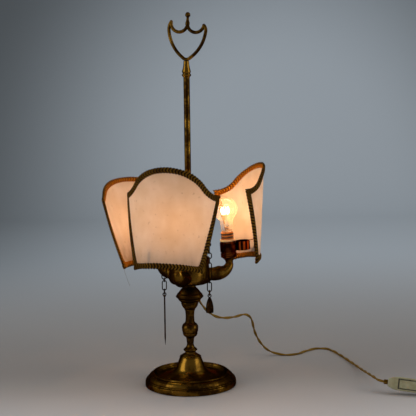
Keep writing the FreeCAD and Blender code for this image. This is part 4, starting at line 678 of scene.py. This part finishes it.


# Cotton and silk gimp braid, folded over the sheets' edges and knotted at the lower corners: dark brown-gold,
# with painted bulb light (a brighter golden copy of its colour) on the side towards the bulb, and painted
# highlights on the raised strands with painted shade in the gaps between them. The strands follow the braid,
# so the pattern reads its own map: U along it, V across, in mm.
braidSetup = {
    "edge": -2.3, "inside": 7.6, "half": 2.4, "square": 0.62, "plait": 5.6, "relief": 1.0, "scallop": 0.60,
    "slant": 0.55, "uneven": 0.25, "wander": ((5, 0.12), (13, 0.10), (31, 0.08), (67, 0.07)), "seed": 40,
    "step": 0.5, "sides": 32, "girth": 19.0, "knot": 0.42, "knotReach": 6.0,
    "knotWide": 0.3, "wanderOff": 0.3,
    # strand colours outside; the inner pair are brighter copies that paint the bulb's light on the side
    # towards the bulb, and the gap colour is painted shade between raised strands
    "outer": "#8E6418", "worn": "#644008", "gap": "#0E0600", "inner": "#C8801E", "innerGap": "#4A2003",
    "patch": 22, "lit": (0.30, 0.90), "bulbLightFace": (0.4, -1.4), "bulbLightEdge": (0.95, 1.3),
}
# loose fibres that leave the outer edge: how many, how thick and long, and how far they stray
fibreSetup = {"count": 60, "radius": 0.16, "length": (1.6, 4.2), "lean": 0.9, "lift": 0.6, "from": 0.5,
              "frayed": (0.80, 0.99)}
# the loose thread at one corner of the left shade: where it starts, and how it hangs
threadSetup = {"corner": (64.3, -8.4), "radius": 0.22, "rows": 24, "sides": 5,
               "hang": [(0, 0, 3), (-0.8, 0, -2), (0.6, 0, -10), (3.4, 0.5, -18), (5.6, 1, -26),
                        (9.6, 1, -35.5)]}


def braidCloth(tree, setup):
    place = addNode(tree, "TexCoord").outputs["Object"]
    weave = addNode(tree, "UVMap", uv_map="weave").outputs["UV"]
    height = addNode(tree, "Attribute", attribute_name="plaitHeight").outputs["Fac"]
    # painted bulb light: how much of the braid's brighter golden copy each point gets
    side = addNode(tree, "Attribute", attribute_name="innerSide").outputs["Fac"]
    threads = addNode(tree, "TexWave", {"Vector": weave, "Scale": 0.9, "Distortion": 2.0, "Detail": 1.0,
                                        "Detail Scale": 2.0}, bands_direction="DIAGONAL").outputs["Fac"]
    worn = patches(tree, place, setup["patch"], 0.35, 0.7)
    gap = layColors(tree, setup["gap"], (side, setup["innerGap"]))
    faint = addNode(tree, "Math", {0: threads, 1: 0.35}, operation="MULTIPLY")
    strand = layColors(tree, setup["outer"], (worn, setup["worn"]), (side, setup["inner"]), (faint, gap))
    # painted highlight on the raised strands, painted shade in the gap colour where the plait lies low
    low, high = setup["lit"]
    lit = addNode(tree, "MapRange", {"Value": height, "From Min": low, "From Max": high})
    color = addNode(tree, "Mix", {0: lit, 6: gap, 7: strand}, data_type="RGBA").outputs[2]
    bump = addNode(tree, "Bump", {"Height": threads, "Strength": 0.5, "Distance": 0.0003})
    return addNode(tree, "BsdfPrincipled", {
        "Base Color": color, "Roughness": 0.8, "Specular IOR Level": 0.06, "Normal": bump})


# Undyed cotton: the one loose thread under the left shade, grey-brown and matt.
def looseCotton(tree):
    place = addNode(tree, "TexCoord").outputs["Object"]
    color = layColors(tree, "#8C8474", (patches(tree, place, 1.2, 0.3, 0.7), "#6A604E"))
    return addNode(tree, "BsdfPrincipled", {"Base Color": color, "Roughness": 0.85})


# Short curved hairs, each of four rings of three points, that leave the outer edge anywhere, lean with the
# square of their length and thin to their tips
def looseFibres(number, setup, edge, points, left, aims, dice):
    count, rows = setup["count"], len(points)
    at = dice.integers(0, rows, count)
    if number == 3:
        at[: count // 2] = dice.integers(*(int(rows * share) for share in setup["frayed"]), count // 2)
    length = dice.uniform(*setup["length"], count)
    lean = dice.uniform(-setup["lean"], setup["lean"], count)
    lift = dice.uniform(-setup["lift"], setup["lift"], count)
    share = np.linspace(0, 1, 4)
    outwards = -(edge + setup["from"]) + np.outer(length, share)
    forwards = np.outer(lean * length, share ** 2)
    hair = points[at][:, None] - left[at][:, None] * outwards[..., None]
    hair = hair + aims[at][:, None] * forwards[..., None]
    thin = setup["radius"] * (1 - 0.6 * share)
    ring = np.linspace(0, 2 * np.pi, 3, endpoint=False)
    across = hair[:, :, None] + (thin[None, :, None] * np.cos(ring))[..., None] * aims[at][:, None, None]
    high = np.outer(lift * length, share)[:, :, None] + thin[None, :, None] * np.sin(ring)
    rings = onSheet(number, across[..., 0], across[..., 1], high)
    start = (np.arange(count) * 12)[:, None, None]
    walls = np.array(ringFaces(4, 3)[:-2])
    ends = np.array([[2, 1, 0], [9, 10, 11]])
    faces = (walls[None] + start).reshape(-1, 4).tolist() + (ends[None] + start).reshape(-1, 3).tolist()
    return rings, faces, 0


def looseThread(number, setup):
    corner = onSheet(number, np.array(setup["corner"][0]), np.array(setup["corner"][1]), np.array(0.0))
    hang = np.array(setup["hang"])
    share = np.linspace(0, len(hang) - 1, setup["rows"])
    path = corner + np.stack([np.interp(share, np.arange(len(hang)), hang[:, k]) for k in range(3)], -1)
    rings = tubeRings(path, setup["sides"], setup["radius"], (0, 1, 0.2))
    return rings, ringFaces(setup["rows"], setup["sides"]), 1


# A flattened oval of braid carried round the outline. Its two faces rise in slanted strands that meet in
# the middle like a fishbone, its edges swell in time with them, and a bell curve thickens the lower corners.
def makeBraid(number, setup, materials):
    dice = np.random.default_rng(setup["seed"] + number)
    points, aims, slides, along, whole = outline(setup["step"])
    rows, sides = len(points), setup["sides"]
    plait = whole / round(whole / setup["plait"])
    turn = np.linspace(0, 2 * np.pi, sides, endpoint=False)
    ovalIn = np.sign(np.cos(turn)) * np.abs(np.cos(turn)) ** setup["square"]
    ovalOff = np.sign(np.sin(turn)) * np.abs(np.sin(turn)) ** setup["square"]
    middle = (setup["edge"] + setup["inside"]) / 2
    reach = (setup["inside"] - setup["edge"]) / 2
    wander = sum(size * np.sin(2 * np.pi * along / whole * waves + dice.uniform(0, 6.28))
                 for waves, size in setup["wander"])
    fishbone = along[:, None] / plait + np.abs(ovalIn)[None] * setup["slant"] + 0.5 * (np.sin(turn) < 0)[None]
    rise = (0.5 + 0.5 * np.cos(2 * np.pi * fishbone)) ** 0.8
    rise *= 1 - setup["uneven"] + setup["uneven"] * dice.random((rows, 1)).repeat(sides, 1)
    face = np.abs(np.sin(turn))[None] ** 0.5
    swell = 1 + (setup["scallop"] * np.cos(2 * np.pi * (along / plait)) + wander)[:, None] / reach
    lowerEdge = runPoints(sheetSetup["runs"][0], setup["step"])[2]
    toCorner = np.minimum(np.minimum(along, whole - along), np.abs(along - lowerEdge))
    knot = setup["knot"] * np.exp(-(toCorner / setup["knotReach"]) ** 2)[:, None]
    inwards = middle + reach * ovalIn[None] * swell * (1 + knot * setup["knotWide"])
    thick = setup["half"] + setup["relief"] * (rise - 0.5) * face + wander[:, None] * setup["wanderOff"]
    left = np.stack([-aims[:, 1], aims[:, 0]], -1)
    flat = points[:, None] + inwards[..., None] * (left[:, None] + aims[:, None] * slides[:, None, None])
    rings = onSheet(number, flat[..., 0], flat[..., 1], ovalOff[None] * thick * (1 + knot))
    lots = [(rings, ringFaces(rows, sides, joined=True), 0)]
    lots.append(looseFibres(number, fibreSetup, setup["edge"], points, left, aims, dice))
    if number == 3:
        lots.append(looseThread(number, threadSetup))

    piece = buildPiece("shadeBraid%d" % number, lots, materials, "shade_%d" % number)
    weaveMap = np.zeros((len(piece.data.vertices), 2))
    weaveMap[:rows * sides, 0] = np.repeat(along, sides)
    weaveMap[:rows * sides, 1] = np.tile(np.arange(sides) * setup["girth"] / sides, rows)
    addMap(piece, "weave", weaveMap)
    addNumbers(piece, "plaitHeight", rise.ravel(), 0.5)
    # painted bulb light: the braid's side towards the bulb gets the brighter golden copy, fading towards its
    # outer edge
    (faceBase, faceSlope), (edgeBase, edgeSlope) = setup["bulbLightFace"], setup["bulbLightEdge"]
    bulbLightShare = np.clip(faceBase + faceSlope * np.sin(turn), 0, 1)
    bulbLightShare *= np.clip(edgeBase + edgeSlope * np.cos(turn), 0, 1)
    addNumbers(piece, "innerSide", np.tile(bulbLightShare, rows), 0.0)
    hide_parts("shade_braid_%d" % number)


braidMaterials = [makeMaterial("silkCottonBraid", braidCloth, braidSetup),
                  makeMaterial("looseCotton", looseCotton)]
for number in (1, 2, 3):
    makeBraid(number, braidSetup, braidMaterials)
print("braids bound on")


# Filament: a glass stem, nickel wires that fan out from it, and a tungsten wire that zigzags between them,
# with each stretch bowed out at its middle. Heights are above the lampholder's base.
filamentSetup = {
    "stem": [(0.05, 58.0), (5.2, 58.0), (5.0, 59.2), (2.6, 63.0), (2.2, 67.0), (2.4, 71.5), (1.4, 73.7),
             (0.05, 74.0)],
    "stemSides": 20, "low": 80.0, "high": 94.0, "radius": 6.0, "lowShare": 0.92, "belly": 2.6, "strands": 8,
    "spread": 0.9, "wire": 0.30, "support": 0.16, "glow": "#FFDDAA", "strength": 38.0,
    "root": {"radius": 0.6, "low": 71.0, "high": 73.2},
    "knee": {"low": (0.5, -3.0), "end": (0.8, -2.0), "high": (0.15, 0.0)},
}


# Drawn glass of the stem: clear, faintly grey.
def stemGlass(tree):
    return addNode(tree, "BsdfPrincipled", {
        "Base Color": hexColor("#FAFCF9"), "Roughness": 0.03, "IOR": 1.5, "Transmission Weight": 0.9})


# Drawn tungsten at white heat: it only gives light, and the point lamps carry it to the room.
def hotTungsten(tree, setup):
    return addNode(tree, "Emission", {"Color": hexColor(setup["glow"]), "Strength": setup["strength"]})


def makeFilaments(setup, materials):
    pegs = 2 * setup["strands"]
    lowPeg = np.arange(pegs) % 2 == 0
    turn = np.pi * np.arange(pegs) / setup["strands"] * setup["spread"]
    spokes = np.stack([np.cos(turn), np.sin(turn)], -1)
    wide = setup["radius"] * np.where(lowPeg, setup["lowShare"], 1.0)
    corners = np.column_stack([wide[:, None] * spokes, np.where(lowPeg, setup["low"], setup["high"])])
    share = np.linspace(0, pegs - 1, 6 * (pegs - 1) + 1)
    path = np.stack([np.interp(share, np.arange(pegs), corners[:, k]) for k in range(3)], -1)
    outwards = path * np.array([1, 1, 0])
    path += outwards / setup["radius"] * (setup["belly"] * np.abs(np.sin(np.pi * share)))[:, None]
    zigzag = tubeRings(path, 6, setup["wire"], outwards)
    root = setup["root"]
    lots = []
    for number in (1, 2, 3):
        place = holderFrame(number)
        stem = turnedRings(setup["stem"], setup["stemSides"], place)
        lots.append((stem, ringFaces(len(setup["stem"]), setup["stemSides"]), 0))
        lots.append((moveAll(zigzag, place), ringFaces(len(path), 6), 2))
        for peg in range(pegs):
            level = "low" if lowPeg[peg] else "high"
            bend = "end" if level == "low" and peg == 0 else level
            inwards, under = setup["knee"][bend]
            start = np.array([*root["radius"] * spokes[peg], root[level]])
            knee = corners[peg] * np.array([inwards, inwards, 1]) + np.array([0, 0, under])
            wire = np.array([start, (start + knee) / 2, knee, corners[peg]])
            facing = (-spokes[peg, 1], spokes[peg, 0], 0)
            rings = tubeRings(wire, 5, setup["support"], facing)
            lots.append((moveAll(rings, place), ringFaces(4, 5), 1))
    piece = buildPiece("filaments", lots, materials, "lamp")
    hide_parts("bulb_filaments")


tungsten = makeMaterial("hotTungsten", hotTungsten, filamentSetup)
tungsten.cycles.emission_sampling = "NONE"
makeFilaments(filamentSetup, [makeMaterial("stemGlass", stemGlass), metals["dulledNickel"], tungsten])
print("filaments strung")


# Finishes: one for each material slot, and one of its own for a node that differs from its slot.
slotFinishes = {
    "aged_brass": metals["agedBrass"], "dark_brass": metals["brownedBrass"], "bronze": metals["blackBronze"],
    "steel": metals["machinedSteel"], "nickel": metals["dulledNickel"],
    "cream_plastic": plastics["yellowedUrea"], "ivory_plastic": plastics["satinIvory"],
    "wire_sleeve": plastics["wireSleeving"], "gold_cord": flexMaterial,
    "cast_iron": makeMaterial("sandCastIron", castIron), "felt": makeMaterial("pressedWoolFelt", woolFelt),
    "parchment": makeMaterial("scrapedParchment", parchment, parchmentSetup),
    "bulb_glass": makeMaterial("blownBulbGlass", bulbGlass, bulbSetup),
}
gapShadedIvory = makeMaterial("gapShadedIvory", rockerSurround, rockerSetup)
nodeFinishes = {"switch_glands": metals["handledBrass"], "switch_cover": gapShadedIvory,
                "switch_rocker": gapShadedIvory}
for number in (1, 2, 3):
    thread = makeMaterial("threadedPhenolic%d" % number, threadedPhenolic, number, coreSetup)
    nodeFinishes["socket_core_%d" % number] = thread
    flutes = makeMaterial("flutedSpringBrass%d" % number, flutedBrass, number, clipSetup)
    nodeFinishes["shade_clip_%d" % number] = flutes

for part in frame["record"]["subparts"]:
    shown = nodes[part["node"]]
    if shown.hide_render:
        continue
    finish = nodeFinishes.get(part["node"]) or slotFinishes[part["material_slot"]]
    if not shown.material_slots:
        shown.data.materials.append(finish)
    for slot in shown.material_slots:
        slot.material = finish
print("finishes on")


# Studio: a pale painted floor that sweeps up into the wall. Its colour turns from floor to wall with depth,
# has painted light that makes it lighter in front, and painted shade that darkens it away from the middle of
# the wall.
stageSetup = {
    # near paints light on the floor in front, and the last colour paints shade away from the middle of the
    # wall
    "floor": "#9C9895", "near": "#E2DEDD", "wall": "#BAC4CD", "paintedShade": "#666D72",
    "front": -6.0, "sweep": 1.0, "wallAt": 3.4, "half": 6.0, "height": 4.0, "gap": 0.02, "above": 0.2,
    "columns": 25, "floorRows": 30, "sweepRows": 25, "wallRows": 8,
    "wallFrom": (0.1, 1.6), "paintedLightFrom": (0.1, -0.35), "middle": (0.45, 0, 0.15), "paintedShadeFrom": (0.45, 1.60),
}


def paintedSweep(tree, setup):
    place = addNode(tree, "TexCoord").outputs["Object"]
    depth = addNode(tree, "SeparateXYZ", {0: place}).outputs["Y"]
    onWall = addNode(tree, "VectorMath", {0: place, 1: (1, 0, 1)}, operation="MULTIPLY")
    away = addNode(tree, "VectorMath", {0: onWall, 1: setup["middle"]}, operation="DISTANCE").outputs["Value"]
    ramps = [addNode(tree, "MapRange", {"Value": value, "From Min": setup[key][0], "From Max": setup[key][1]},
                     interpolation_type="SMOOTHSTEP")
             for value, key in ((depth, "wallFrom"), (depth, "paintedLightFrom"), (away, "paintedShadeFrom"))]
    # painted shade: darker away from the middle of the wall, on the wall only
    paintedShadeShare = addNode(tree, "Math", {0: ramps[2], 1: ramps[0]}, operation="MULTIPLY")
    color = layColors(tree, setup["floor"], (ramps[0], setup["wall"]), (ramps[1], setup["near"]),
                      (paintedShadeShare, setup["paintedShade"]))
    return addNode(tree, "BsdfPrincipled", {"Base Color": color, "Roughness": 0.9})


# A profile of floor, quarter circle and wall, drawn out sideways
def makeStage(setup):
    sweep, floorRows, wallRows = setup["sweep"], setup["floorRows"], setup["wallRows"]
    corner = setup["wallAt"] - sweep
    turn = np.linspace(0, np.pi / 2, setup["sweepRows"])
    depth = np.concatenate([np.linspace(setup["front"], corner - setup["gap"], floorRows),
                            corner + sweep * np.sin(turn), np.full(wallRows, setup["wallAt"])])
    level = np.concatenate([np.zeros(floorRows), sweep * (1 - np.cos(turn)),
                            np.linspace(sweep + setup["above"], setup["height"], wallRows)])
    across = np.linspace(-setup["half"], setup["half"], setup["columns"])
    grid = np.stack(np.broadcast_arrays(across[None, :], depth[:, None], level[:, None]), -1)
    at = np.arange(grid[..., 0].size).reshape(grid.shape[:2])
    quads = np.stack([at[:-1, :-1], at[:-1, 1:], at[1:, 1:], at[1:, :-1]], -1).reshape(-1, 4)
    mesh = bpy.data.meshes.new("studioSweep")
    mesh.from_pydata(grid.reshape(-1, 3), [], quads.tolist())
    mesh.polygons.foreach_set("use_smooth", [True] * len(mesh.polygons))
    mesh.materials.append(makeMaterial("paintedSweep", paintedSweep, setup))
    stage = bpy.data.objects.new("studioSweep", mesh)
    bpy.context.scene.collection.objects.link(stage)


# Two tall soft lamps at the sides, one that washes the wall, a small warm one in each bulb and a dim room.
lampSetup = {
    "soft": {
        "sideLamp1": {"place": (-1.9, -0.65, 0.9), "aim": (0, 0, 0.32), "energy": 14.5, "size": (1.3, 1.6)},
        "sideLamp2": {"place": (1.9, -0.65, 0.9), "aim": (0, 0, 0.32), "energy": 14.5, "size": (1.3, 1.6)},
        "wallLamp": {"place": (0.3, 1.1, 2.6), "aim": (0.3, 3.3, 0.3), "energy": 27.0, "size": (3.0, 0.8)},
    },
    "bulb": {"energy": 0.40, "color": "#FFC489", "radius": 0.008, "height": 88.0},
    "room": {"color": "#FFFFFF", "strength": 0.21},
}


def addLamp(name, kind, energy, **settings):
    data = bpy.data.lights.new(name, kind)
    data.energy = energy
    for key, value in settings.items():
        setattr(data, key, value)
    lamp = bpy.data.objects.new(name, data)
    bpy.context.scene.collection.objects.link(lamp)
    lamp.visible_camera = False
    return lamp


def makeLights(setup):
    for name, soft in setup["soft"].items():
        wide, high = soft["size"]
        lamp = addLamp(name, "AREA", soft["energy"], shape="RECTANGLE", size=wide, size_y=high)
        aim = Vector(soft["aim"]) - Vector(soft["place"])
        turned = aim.to_track_quat("-Z", "Y").to_matrix().to_4x4()
        lamp.matrix_world = Matrix.Translation(soft["place"]) @ turned
    bulb = setup["bulb"]
    for number in (1, 2, 3):
        lamp = addLamp("bulbLamp%d" % number, "POINT", bulb["energy"], color=hexColor(bulb["color"])[:3],
                       shadow_soft_size=bulb["radius"])
        lamp.location = moveAll(np.array([0, 0, bulb["height"]]), holderFrame(number)) / 1000
        lamp.visible_transmission = False
        lamp.visible_glossy = False
    world = bpy.data.worlds.new("studioRoom")
    world.use_nodes = True
    background = world.node_tree.nodes["Background"]
    background.inputs["Color"].default_value = hexColor(setup["room"]["color"])
    background.inputs["Strength"].default_value = setup["room"]["strength"]
    bpy.context.scene.world = world


makeStage(stageSetup)
makeLights(lampSetup)
bpy.context.scene.view_settings.view_transform = "Standard"
print("studio lit")

bpy.context.view_layer.update()
